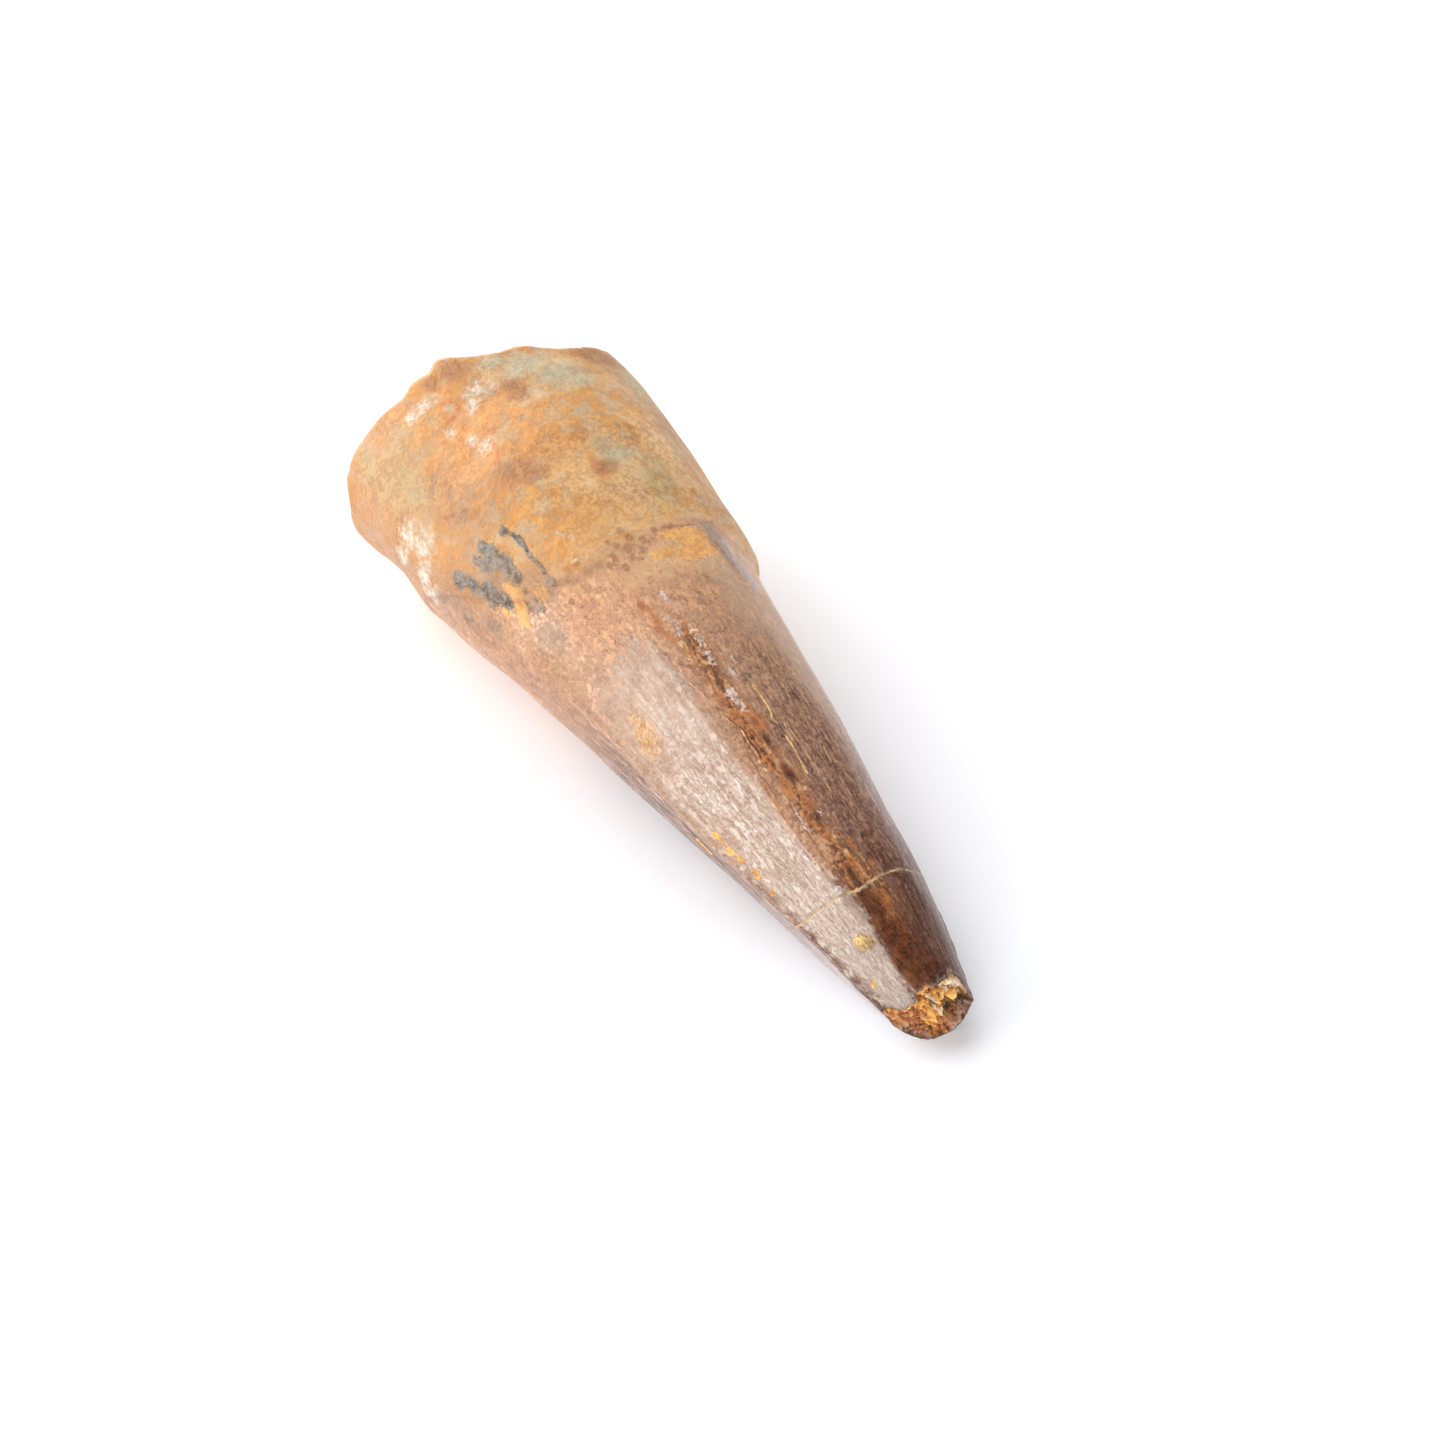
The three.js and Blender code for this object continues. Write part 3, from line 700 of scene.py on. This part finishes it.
root_face = filled_face(skin_points[0], angles, ROOT_FACE_RINGS, root_relief, *ROOT_GRAINS)
root_share, root_points, root_grains, root_middle = root_face
tip_face = filled_face(skin_points[-1], angles, TIP_FACE_RINGS, tip_relief, *TIP_GRAINS)
tip_share, tip_points, tip_grains, tip_middle = tip_face

# For every ring of points: how far along and round it is, and its share of the radius
root_along = np.repeat(skin_along[:1], ROOT_FACE_RINGS, axis=0)
tip_along = np.repeat(skin_along[-1:], TIP_FACE_RINGS, axis=0)
all_along = np.concatenate([root_along, skin_along, tip_along])
all_angle = np.broadcast_to(angles, all_along.shape)
all_share = np.concatenate([root_share[::-1], np.ones(len(skin_along)), tip_share])[:, None]
all_share = np.broadcast_to(all_share, all_along.shape)
is_tip_face = np.arange(len(all_along))[:, None] >= ROOT_FACE_RINGS + len(skin_along)

grid = np.concatenate([root_points[::-1], skin_points, tip_points])
all_grains = np.concatenate([root_grains[::-1], 0 * skin_along, tip_grains])
rings = len(grid)
points = np.concatenate([grid.reshape(-1, 3), [root_middle, tip_middle]])
low, high = np.array(cad_box[0]), np.array(cad_box[1])
points = np.clip(points * MM, low, high)

place = np.arange(rings * AROUND).reshape(rings, AROUND)
beside = np.roll(place, -1, axis=1)
quads = np.stack([place[:-1], beside[:-1], beside[1:], place[1:]], -1).reshape(-1, 4)
root_cap = [(rings * AROUND, b, a) for a, b in zip(place[0], beside[0])]
tip_cap = [(rings * AROUND + 1, a, b) for a, b in zip(place[-1], beside[-1])]

mesh = bpy.data.meshes.new("tooth_skin")
mesh.from_pydata(points.tolist(), [], quads.tolist() + root_cap + tip_cap)
mesh.shade_smooth()
tooth = bpy.data.objects.new("tooth_skin", mesh)
bpy.context.collection.objects.link(tooth)
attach(tooth, "root")
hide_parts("tooth")

# ---------------------------------------------------------------- marks on the mesh

marked = []  # the names of the marks


def mark(name, values, ends=(0.0, 0.0)):
    """Keeps one number per point for the materials. The ends are the middles of the two faces."""
    marked.append(name)
    layer = mesh.attributes.new(name, "FLOAT", "POINT")
    layer.data.foreach_set("value", np.append(values.ravel(), ends).astype(np.float32))


def mark_frame(name, values, ends):
    """The same for a place in space."""
    layer = mesh.attributes.new(name, "FLOAT_VECTOR", "POINT")
    numbers = np.concatenate([values.reshape(-1, 3), ends])
    layer.data.foreach_set("vector", numbers.astype(np.float32).ravel())


half_width = through(TAPER, all_along)
on_skin = all_share == 1
cone = skin_frame(all_along, all_angle)
cone[..., 1:] *= all_share[..., None]
mark_frame("grain", cone, [(all_along[0, 0], 0, 0), (all_along[-1, 0], 0, 0)])

past_ledge = all_along - ledge_line(all_angle)
fading = lerp(*CROWN_FADES_IN, smoothstep(all_angle % 360, *CROWN_FADE_TURNS))
mark("crown", np.clip(0.5 + past_ledge / fading, 0, 1), (0, 1))
mark("depth of brown", through(DEPTH_OF_BROWN, all_along), (0, 1))
mark("length", all_along / WHOLE_LENGTH, (0, 1))

# The pale flank, whose paler colour is partly painted sheen
above_edge = np.radians(all_angle % 360 - through(PALE_EDGE, all_along)) * half_width
below_edge = np.radians(through(CARINA, all_along) - all_angle % 360) * half_width
inside = np.minimum(above_edge, below_edge - PALE_SHORT_OF_CARINA)
pale = np.clip(0.5 + inside / PALE_SOFTNESS, 0, 1)
pale = pale * smoothstep(all_along, *PALE_STARTS) * on_skin
mark("pale flank", pale)
under_carina = np.clip(0.5 - (below_edge + UNDER_STARTS) / UNDER_SOFTNESS, 0, 1)
mark("under the carina", under_carina * (all_angle % 360 < UNDER_ENDS) * on_skin)
# The dark line just past the carina is a painted shadow
to_line = np.abs(turn(through(CARINA, all_along) + CARINA_LINE_PAST, all_angle))
carina_shadow_mask = np.clip(1 - np.radians(to_line) * half_width / CARINA_LINE_REACH, 0, 1)
mark("shadow along the carina", carina_shadow_mask * smoothstep(all_along, *CARINA_LINE_STARTS) * on_skin)

belt_middle = through(PALE_EDGE, all_along) - BELT_LIES
aside = np.radians(turn(belt_middle, all_angle)) * half_width
belt = 1 - np.abs(aside) / (2 * BELT_HALF_WIDTH)
mark("belt", np.where(on_skin, belt - 1 + smoothstep(all_along, *BELT_STARTS), 0))

from_crack = np.abs(all_along - around(CRACK, all_angle) - crack_wander(cone))
crack_width = CRACK_HALF_WIDTH * around(CRACK_FILLING, all_angle)
mark("crack filling", np.clip(1 - from_crack / (2 * crack_width), 0, 1) * on_skin)

to_nodule = from_patch(NODULE, all_along, all_angle, half_width)
mark("nodule", np.clip(1 - to_nodule / NODULE_REACH, 0, 1) * on_skin)

wander = STAIN_WANDER * np.stack([rough(cone, 1.1, 3, seed) for seed in (41, 47)])
near_along = all_along + wander[0]
near_angle = all_angle + np.degrees(wander[1] / half_width)
for stain, *_, where, lined in STAINS:
    nearest = np.maximum(
        patches(where, near_along, near_angle), lines(lined, near_along, near_angle)
    )
    mark(stain, np.where(on_skin, nearest, FAR), (FAR, FAR))

mark("broken face", smoothstep(1 - all_share, *ROCK_STARTS), (1, 1))
mark("root face", np.where(is_tip_face, 0, 1 - on_skin), (1, 0))
mark("grains", 0.5 + all_grains / 2, (0.5, 0.5))
face_across = all_share * np.cos(np.radians(all_angle))
face_up = all_share * np.sin(np.radians(all_angle))
for stain, _, _, _, spots in ROCK_STAINS:
    nearest = np.full_like(all_along, FAR)
    for across, up, radius in spots:
        away = np.hypot(face_across - across, face_up - up) / radius
        nearest = np.maximum(nearest, 1 - away / 2)
    mark(stain, np.where(is_tip_face, nearest, FAR), (FAR, FAR))

# ---------------------------------------------------------------- materials


def srgb(code):
    """A hex colour as the linear colour that a shader takes."""
    values = [int(code[i : i + 2], 16) / 255 for i in (1, 3, 5)]
    linear = [v / 12.92 if v <= 0.04045 else ((v + 0.055) / 1.055) ** 2.4 for v in values]
    return (*linear, 1.0)


def add(tree, kind, inputs, **settings):
    """One node with its settings. An input that is another node's socket is linked to it."""
    node = tree.nodes.new(kind)
    for name, value in settings.items():
        setattr(node, name, value)
    for name, value in inputs.items():
        if isinstance(value, bpy.types.NodeSocket):
            tree.links.new(value, node.inputs[name])
        else:
            node.inputs[name].default_value = value
    return node


# Fossil tooth: porous iron-stained dentine on the root, and enamel on the crown, ground to a
# dull gloss by sand. The enamel gives the sheen and the dentine the dusty orange.
ROOT_GREY = [("#806A50", 0.0), ("#A68A68", 0.35), ("#BBA07C", 0.65), ("#CBB694", 1.0)]
ROOT_ORANGE = [("#885523", 0.0), ("#B07434", 0.35), ("#C58C45", 0.65), ("#D2A55E", 1.0)]
ROOT_VEIN = "#76502F"
ROOT_SPECK = "#5A3D25"
CROWN_COLOURS = [
    ("#D2A882", -0.35), ("#BE9070", 0.0), ("#AA866D", 0.25), ("#957262", 0.5), ("#6D5049", 0.75),
    ("#4F2E27", 1.0), ("#24130F", 1.35),
]
CROWN_ORANGE = "#A9652F"
# The pale flank's colours: worn enamel, made paler by painted sheen
PALE_AND_SHEEN_COLOURS = [("#7C5A46", 0.18), ("#9E826E", 0.38), ("#B29E8E", 0.56), ("#C6B8AC", 0.8)]
PALE_GOLD = "#946E54"
PALE_LILAC = "#9A908A"
PALE_WRINKLE = "#6E4C38"
CROWN_CREASE = "#3A1D11"
CROWN_HAIRLINE = "#C29468"
# Under the carina: the lighter lilac-grey stops and the pearl are painted reflection, the dark line
# along the carina a painted shadow
UNDER_CARINA_AND_REFLECTION = [("#CDC1BA", 0.35), ("#A8958B", 0.58), ("#86695A", 0.8), ("#4A342A", 1.05)]
CARINA_REFLECTION = "#B8B2B3"
CARINA_SHADOW = "#2E1C16"
BELT_COLOURS = [
    ("#1E100E", 0.28), ("#5E3321", 0.4), ("#A06537", 0.52), ("#BC8F65", 0.66), ("#D8C5AD", 0.82),
]
# The broken faces run from dark in the hollows between grains to light on their tops: partly painted
# shade and highlight; the gap colour is painted shade
ROCK_COLOURS = [
    ("#3A1E0E", 0.2), ("#8A5224", 0.34), ("#BC7F3C", 0.48), ("#DDAA60", 0.62), ("#F0DDB8", 0.8),
]
ROCK_GAP_SHADE = "#2C1608"
ROOT_FACE_COLOURS = [("#5A3C22", 0.25), ("#8A6238", 0.5), ("#AE8350", 0.75)]
CRACK_COLOURS = [("#857350", 0.2), ("#C2A06C", 0.7)]
NODULE_COLOURS = [("#7E5C36", 0.5), ("#C8A468", 0.85)]
ROOT_ROUGHNESS = 0.7
ENAMEL_ROUGHNESS = 0.26
PALE_ROUGHNESS = 0.4
ROCK_ROUGHNESS = 0.85
APATITE_IOR = 1.58
GLOSS_LEFT = 0.42  # sand-worn, it shines a little less than polished apatite, which is 0.5

fossil = bpy.data.materials.new("fossil tooth, enamel and dentine")
fossil.use_nodes = True
tree = fossil.node_tree
tree.nodes.clear()

grain = add(tree, "ShaderNodeAttribute", {}, attribute_name="grain").outputs["Vector"]
own = add(tree, "ShaderNodeTexCoord", {}).outputs["Object"]
in_mm = add(tree, "ShaderNodeVectorMath", {0: own, 1: (1000, 1000, 1000)}, operation="MULTIPLY")
place = in_mm.outputs[0]

# Patterns: where each is read, its stretch along and around the tooth, lumps per mm, detail,
# fineness, and the width of its lines if it is drawn as lines instead of clouds
PATTERNS = {
    "bands": (grain, 1.0, 0.45, 0.32, 5, 0.62, 0),
    "hues": (place, 1.0, 1.0, 0.6, 5, 0.7, 0),
    "clouds": (place, 1.0, 1.0, 0.9, 4, 0.65, 0),
    "grit": (place, 1.0, 1.0, 2.2, 3, 0.7, 0),
    "flecks": (place, 1.0, 1.0, 3.2, 2, 0.6, 0),
    "veins": (place, 1.0, 1.0, 0.6, 4, 0.65, 0.02),
    "drift": (grain, 0.3, 1.0, 0.4, 3, 0.6, 0),
    "scales": (grain, 0.5, 1.0, 1.8, 4, 0.72, 0),
    "streaks": (grain, 0.2, 1.0, 1.5, 4, 0.7, 0),
    "hairs": (grain, 0.15, 1.0, 2.8, 2, 0.7, 0),
    "creases": (grain, 0.12, 1.0, 1.2, 4, 0.65, 0.025),
    "hairlines": (grain, 0.07, 1.0, 1.9, 3, 0.6, 0.03),
    "splits": (grain, 0.06, 1.0, 2.4, 3, 0.6, 0.03),
    "crackle": (grain, 0.5, 1.0, 1.8, 4, 0.7, 0.03),
    "pits": (grain, 0.6, 1.0, 3.6, 2, 0.7, 0),
}
pattern = {}
for name, (source, ahead, aside, scale, detail, fineness, width) in PATTERNS.items():
    stretched = {0: source, 1: (ahead, aside, aside)}
    stretched = add(tree, "ShaderNodeVectorMath", stretched, operation="MULTIPLY").outputs[0]
    how = {"Vector": stretched, "Scale": scale, "Detail": detail, "Roughness": fineness}
    value = add(tree, "ShaderNodeTexNoise", how).outputs[0]
    limits = {"From Min": 0.3, "From Max": 0.7}
    if width:
        value = {0: value, 1: 0.5}
        value = add(tree, "ShaderNodeMath", value, operation="SUBTRACT").outputs[0]
        value = add(tree, "ShaderNodeMath", {0: value}, operation="ABSOLUTE").outputs[0]
        limits = {"From Min": width, "From Max": width / 4}
    pattern[name] = add(tree, "ShaderNodeMapRange", {"Value": value, **limits}).outputs[0]

marks = {}
for name in marked:
    marks[name] = add(tree, "ShaderNodeAttribute", {}, attribute_name=name).outputs["Fac"]
length = marks["length"]

# Ramps: what each follows, where that starts and ends, and the ramp's share there
RAMPS = {
    "specks": (pattern["flecks"], 0.2, 0.05, 0.0, 0.15),
    "drawn out": (length, 0.4, 0.65, 0.0, 1.0),
    "pitted": (pattern["pits"], 0.38, 0.12, 0.0, 0.5),
    "golden": (length, 0.66, 0.4, 0.0, 0.75),
    "lilac": (length, 0.7, 1.0, 0.0, 0.5),
    "pearly": (length, 0.72, 0.95, 0.0, 0.7),
    "gaps": (pattern["flecks"], 0.1, 0.6, 0.7, 1.0),
}
ramp = {}
for name, (value, start, end, at_start, at_end) in RAMPS.items():
    limits = {"From Min": start, "From Max": end, "To Min": at_start, "To Max": at_end}
    ramp[name] = add(tree, "ShaderNodeMapRange", {"Value": value, **limits}).outputs[0]

# A mix's sockets for the share, what is below, what is above and what comes out
MIX_SOCKETS = {"RGBA": (0, 6, 7, 2), "FLOAT": (0, 2, 3, 0)}


def coated(ground, *coats, sort="RGBA"):
    """A colour, or a plain number, under coats of others. A coat is what it brings and its share."""
    share_at, below, above, mixed = MIX_SOCKETS[sort]
    for coat, share in coats:
        sockets = {share_at: share, below: ground, above: coat}
        ground = add(tree, "ShaderNodeMix", sockets, data_type=sort).outputs[mixed]
    return ground


def shaded(value, colours):
    """A colour that goes through (colour, value) stops."""
    (colour, start), *others = colours
    mixed = srgb(colour)
    for colour, stop in others:
        share = {"Value": value, "From Min": start, "From Max": stop}
        share = add(tree, "ShaderNodeMapRange", share).outputs[0]
        mixed = coated(mixed, (srgb(colour), share))
        start = stop
    return mixed


def sums(*terms):
    """The sum of texture times amount, for one or several. Both may be textures."""
    total = 0.0
    for texture, amount in terms:
        total = {0: texture, 1: amount, 2: total}
        total = add(tree, "ShaderNodeMath", total, operation="MULTIPLY_ADD").outputs[0]
    return total


def ragged(value, texture, amount, softness=0.06, cover=1.0):
    """How much of a mark shows: all of it inside its edge, which the texture frays."""
    frayed = sums((texture, amount), (value, 1.0))
    middle = 0.5 + amount / 2
    limits = {"From Min": middle - softness, "From Max": middle + softness, "To Max": cover}
    return add(tree, "ShaderNodeMapRange", {"Value": frayed, **limits}).outputs[0]


# Root: bands round it, orange clouds, fine dark veins and specks
mottle = sums((pattern["bands"], 0.5), (pattern["clouds"], 0.35), (pattern["grit"], 0.15))
rusty = sums((pattern["hues"], 0.65), (pattern["clouds"], 0.3), (pattern["flecks"], 0.05))
rusty = add(tree, "ShaderNodeMapRange", {"Value": rusty, "From Min": 0.3, "From Max": 0.6}).outputs[0]
root_colour = coated(
    shaded(mottle, ROOT_GREY),
    (shaded(mottle, ROOT_ORANGE), rusty),
    (srgb(ROOT_VEIN), sums((pattern["veins"], 0.3))),
    (srgb(ROOT_SPECK), ramp["specks"]),
)

# Crown: brown that deepens towards the tip, speckled near the ledge and drawn out in streaks
# farther on, in a fine dark net of cracks, with the rusty belt along the pale flank
speckled = sums(
    (pattern["scales"], 0.55), (pattern["flecks"], 0.5), (pattern["clouds"], 0.3), (1.0, -0.67)
)
streaked = sums((pattern["hairs"], 0.6), (pattern["streaks"], 0.3), (1.0, -0.45))
streaked = sums((streaked, ramp["drawn out"]))
deepening = sums((speckled, 0.85), (streaked, 0.4), (marks["depth of brown"], 1.0), (1.0, -0.04))
orange = sums((pattern["drift"], sums((pattern["clouds"], 0.2))))
split = sums((pattern["creases"], 0.45), (pattern["splits"], 0.45))
crackled = sums((pattern["crackle"], pattern["clouds"]))
cracked = sums((split, ramp["drawn out"]), (crackled, 0.7))
pitted = sums((ramp["pitted"], ramp["drawn out"]))
scratched = sums((sums((pattern["hairlines"], ramp["drawn out"])), 0.2))
fragments = sums((pattern["scales"], 0.55), (pattern["flecks"], 0.25), (pattern["streaks"], 0.2))
belt = ragged(marks["belt"], fragments, 0.9, 0.25, 0.85)
crown_colour = coated(
    shaded(deepening, CROWN_COLOURS),
    (srgb(CROWN_ORANGE), orange),
    (srgb(CROWN_CREASE), cracked),
    (srgb(CROWN_CREASE), pitted),
    (srgb(CROWN_HAIRLINE), scratched),
    (shaded(fragments, BELT_COLOURS), belt),
)

# The pale flank: tan and pearly scales in a fine net of cracks, golden first and lilac last; their
# paleness is partly painted sheen
pearl = sums((pattern["streaks"], 0.35), (pattern["scales"], 0.3), (pattern["clouds"], 0.2))
pearl = sums((pearl, 1.0), (pattern["pits"], 0.2), (1.0, -0.03))
net = sums((pattern["crackle"], 0.6), (pattern["creases"], 0.4))
net = sums((net, ramp["drawn out"]))
pale_and_sheen_colour = coated(
    shaded(pearl, PALE_AND_SHEEN_COLOURS),
    (srgb(PALE_GOLD), ramp["golden"]),
    (srgb(PALE_LILAC), ramp["lilac"]),
    (srgb(PALE_WRINKLE), net),
)
pale_share = ragged(marks["pale flank"], pattern["scales"], 0.45, 0.1)

# Under the carina: streaks, lilac-grey close to it and growing pearly towards the tip by painted
# reflection, and a painted shadow line along its edge
starts = {"Value": sums((length, 1.0), (pattern["clouds"], 0.06)), "From Min": 0.36, "From Max": 0.56}
starts = add(tree, "ShaderNodeMapRange", starts).outputs[0]
under = sums((ragged(marks["under the carina"], pattern["hairs"], 0.2, 0.1), starts))
lined = sums((pattern["hairs"], 0.35), (pattern["splits"], 0.3), (pattern["scales"], 0.3))
lined = sums((lined, 1.0), (marks["under the carina"], 0.7), (1.0, -0.2))
under_colour = coated(shaded(lined, UNDER_CARINA_AND_REFLECTION), (srgb(CARINA_REFLECTION), ramp["pearly"]))
carina_shadow_share = ragged(marks["shadow along the carina"], pattern["hairs"], 0.6, 0.15, 0.85)
crown_colour = coated(
    crown_colour, (pale_and_sheen_colour, pale_share), (under_colour, under), (srgb(CARINA_SHADOW), carina_shadow_share)
)

# The whole skin: its colour, its roughness and its fine relief in millimetres
crown_share = ragged(marks["crown"], pattern["clouds"], 0.35, 0.12)
colour = coated(root_colour, (crown_colour, crown_share))
shine = coated(ENAMEL_ROUGHNESS, (PALE_ROUGHNESS, pale_share), sort="FLOAT")
shine = coated(ROOT_ROUGHNESS, (shine, crown_share), sort="FLOAT")

root_height = sums((pattern["grit"], 0.015), (pattern["clouds"], 0.05))
crown_height = sums((pattern["hairs"], 0.003), (pattern["clouds"], 0.01), (cracked, -0.006))
crown_height = sums((sums((belt, fragments)), 0.02), (crown_height, 1.0))
pale_height = sums((pattern["grit"], 0.02), (pattern["scales"], 0.02), (net, -0.02))
crown_height = coated(crown_height, (pale_height, pale_share), sort="FLOAT")
height = coated(root_height, (crown_height, crown_share), sort="FLOAT")

# Stains, and the painted shade, sheen and reflections among them, which the grain of root or crown
# frays and speckles
root_fray = sums((pattern["clouds"], 0.5), (pattern["grit"], 0.3), (pattern["flecks"], 0.2))
crown_fray = sums((pattern["streaks"], 0.25), (pattern["scales"], 0.35), (pattern["flecks"], 0.4))
fray = coated(root_fray, (crown_fray, crown_share), sort="FLOAT")
speckle = sums((pattern["clouds"], 0.35), (pattern["grit"], 0.35), (pattern["flecks"], 0.3))
for stain, light, dark, cover, roughness, rise, rag, softness, *_ in STAINS:
    share = sums((ragged(marks[stain], fray, rag, softness, cover), ramp["gaps"]))
    colour = coated(colour, (shaded(speckle, [(dark, 0.38), (light, 0.62)]), share))
    shine = coated(shine, (roughness, share), sort="FLOAT")
    if rise:
        height = sums((share, rise), (height, 1.0))

filling = ragged(marks["crack filling"], pattern["flecks"], 0.8, 0.12)
lump = ragged(marks["nodule"], pattern["grit"], 0.25)
grainy = sums((marks["nodule"], 0.5), (pattern["pits"], 0.7))
colour = coated(
    colour, (shaded(pattern["clouds"], CRACK_COLOURS), filling), (shaded(grainy, NODULE_COLOURS), lump)
)

# The broken faces: crumbs of iron-stained rock with dark gaps, and duller dentine at the root; darker
# in the hollows and gaps by painted shade and lighter on the crumbs' tops by painted highlight
crumbs = sums((marks["grains"], 0.5), (pattern["flecks"], 0.3), (pattern["grit"], 0.2))
gritty = sums((pattern["flecks"], 0.5), (marks["grains"], 0.5))
rock_colour = shaded(crumbs, ROCK_COLOURS)
for stain, light, dark, cover, _ in ROCK_STAINS:
    share = ragged(marks[stain], gritty, 0.7, 0.12, cover)
    rock_colour = coated(rock_colour, (shaded(gritty, [(dark, 0.25), (light, 0.65)]), share))
# Painted shade in the gaps between the crumbs
between = {"Value": crumbs, "From Min": 0.34, "From Max": 0.24, "To Max": 0.6}
between = add(tree, "ShaderNodeMapRange", between).outputs[0]
rock_colour = coated(
    rock_colour, (srgb(ROCK_GAP_SHADE), between), (shaded(crumbs, ROOT_FACE_COLOURS), marks["root face"])
)
rock_share = marks["broken face"]
colour = coated(colour, (rock_colour, rock_share))
shine = coated(shine, (ROCK_ROUGHNESS, filling), (ROCK_ROUGHNESS, rock_share), sort="FLOAT")

relief = add(tree, "ShaderNodeBump", {"Strength": 1.0, "Distance": MM, "Height": height})
look = {
    "Base Color": colour,
    "Roughness": shine,
    "IOR": APATITE_IOR,
    "Specular IOR Level": GLOSS_LEFT,
    "Normal": relief.outputs[0],
}
surface = add(tree, "ShaderNodeBsdfPrincipled", look)
add(tree, "ShaderNodeOutputMaterial", {"Surface": surface.outputs["BSDF"]})
mesh.materials.append(fossil)

# Matte white paper sweep
paper = bpy.data.materials.new("white paper")
paper.use_nodes = True
paper_tree = paper.node_tree
paper_surface = paper_tree.nodes["Principled BSDF"]
paper_surface.inputs["Base Color"].default_value = srgb("#F0F1F5")
paper_surface.inputs["Roughness"].default_value = 0.9
paper_surface.inputs["Specular IOR Level"].default_value = 0.1

# ---------------------------------------------------------------- the stage

FLOOR_HALF = 3.0
FLOOR_GAP = 0.02 * MM
corners = [
    (x * FLOOR_HALF, y * FLOOR_HALF, -FLOOR_GAP) for x, y in ((-1, -1), (1, -1), (1, 1), (-1, 1))
]
floor_mesh = bpy.data.meshes.new("floor")
floor_mesh.from_pydata(corners, [], [(0, 1, 2, 3)])
floor_mesh.materials.append(paper)
floor = bpy.data.objects.new("floor", floor_mesh)
bpy.context.collection.objects.link(floor)


def stand(name, data, azimuth, elevation, distance, target=(0, 0, 0)):
    """Stands a lamp or the camera at an azimuth and elevation from its target, turned to face it."""
    a, e = math.radians(azimuth), math.radians(elevation)
    away = Vector((math.sin(a) * math.cos(e), -math.cos(a) * math.cos(e), math.sin(e)))
    thing = bpy.data.objects.new(name, data)
    thing.location = Vector(target) + away * distance
    thing.rotation_euler = away.to_track_quat("Z", "Y").to_euler()
    bpy.context.collection.objects.link(thing)
    return thing


# (name, azimuth and elevation it shines from, distance, width, height, radiance)
LIGHTS = [
    ("left softbox", -25, 14, 1.2, 1.0, 0.55, 7.0),
    ("right softbox", 148, 14, 1.3, 1.4, 0.6, 5.0),
    ("front softbox", 58, 18, 1.3, 1.4, 0.6, 6.3),
    ("lit backdrop, low", -78, 12, 1.4, 2.4, 0.55, 8.0),
    ("lit backdrop, high", -85, 45, 1.3, 1.6, 1.0, 4.0),
]
for name, azimuth, elevation, distance, width, height, radiance in LIGHTS:
    lamp = bpy.data.lights.new(name, "AREA")
    lamp.shape = "RECTANGLE"
    lamp.size, lamp.size_y = width, height
    lamp.energy = radiance * math.pi * width * height
    stand(name, lamp, azimuth, elevation, distance)

WORLD_LIGHT = 0.06
world = bpy.data.worlds.new("studio air")
world.use_nodes = True
background = world.node_tree.nodes["Background"]
background.inputs["Color"].default_value = (1, 1, 1, 1)
background.inputs["Strength"].default_value = WORLD_LIGHT
bpy.context.scene.world = world

# The camera stands 45 cm away, well above the tooth and towards its tip.
VIEW_AZIMUTH, VIEW_ELEVATION = 58.268, 42
VIEW_DISTANCE = 0.45
VIEW_TARGET = Vector((3.021, 0.559, 8.0)) * MM
VIEW_ANGLE = 15.589
camera_data = bpy.data.cameras.new("camera")
camera_data.angle = math.radians(VIEW_ANGLE)
camera = stand("camera", camera_data, VIEW_AZIMUTH, VIEW_ELEVATION, VIEW_DISTANCE, VIEW_TARGET)
bpy.context.scene.camera = camera
bpy.context.scene.view_settings.view_transform = "Standard"
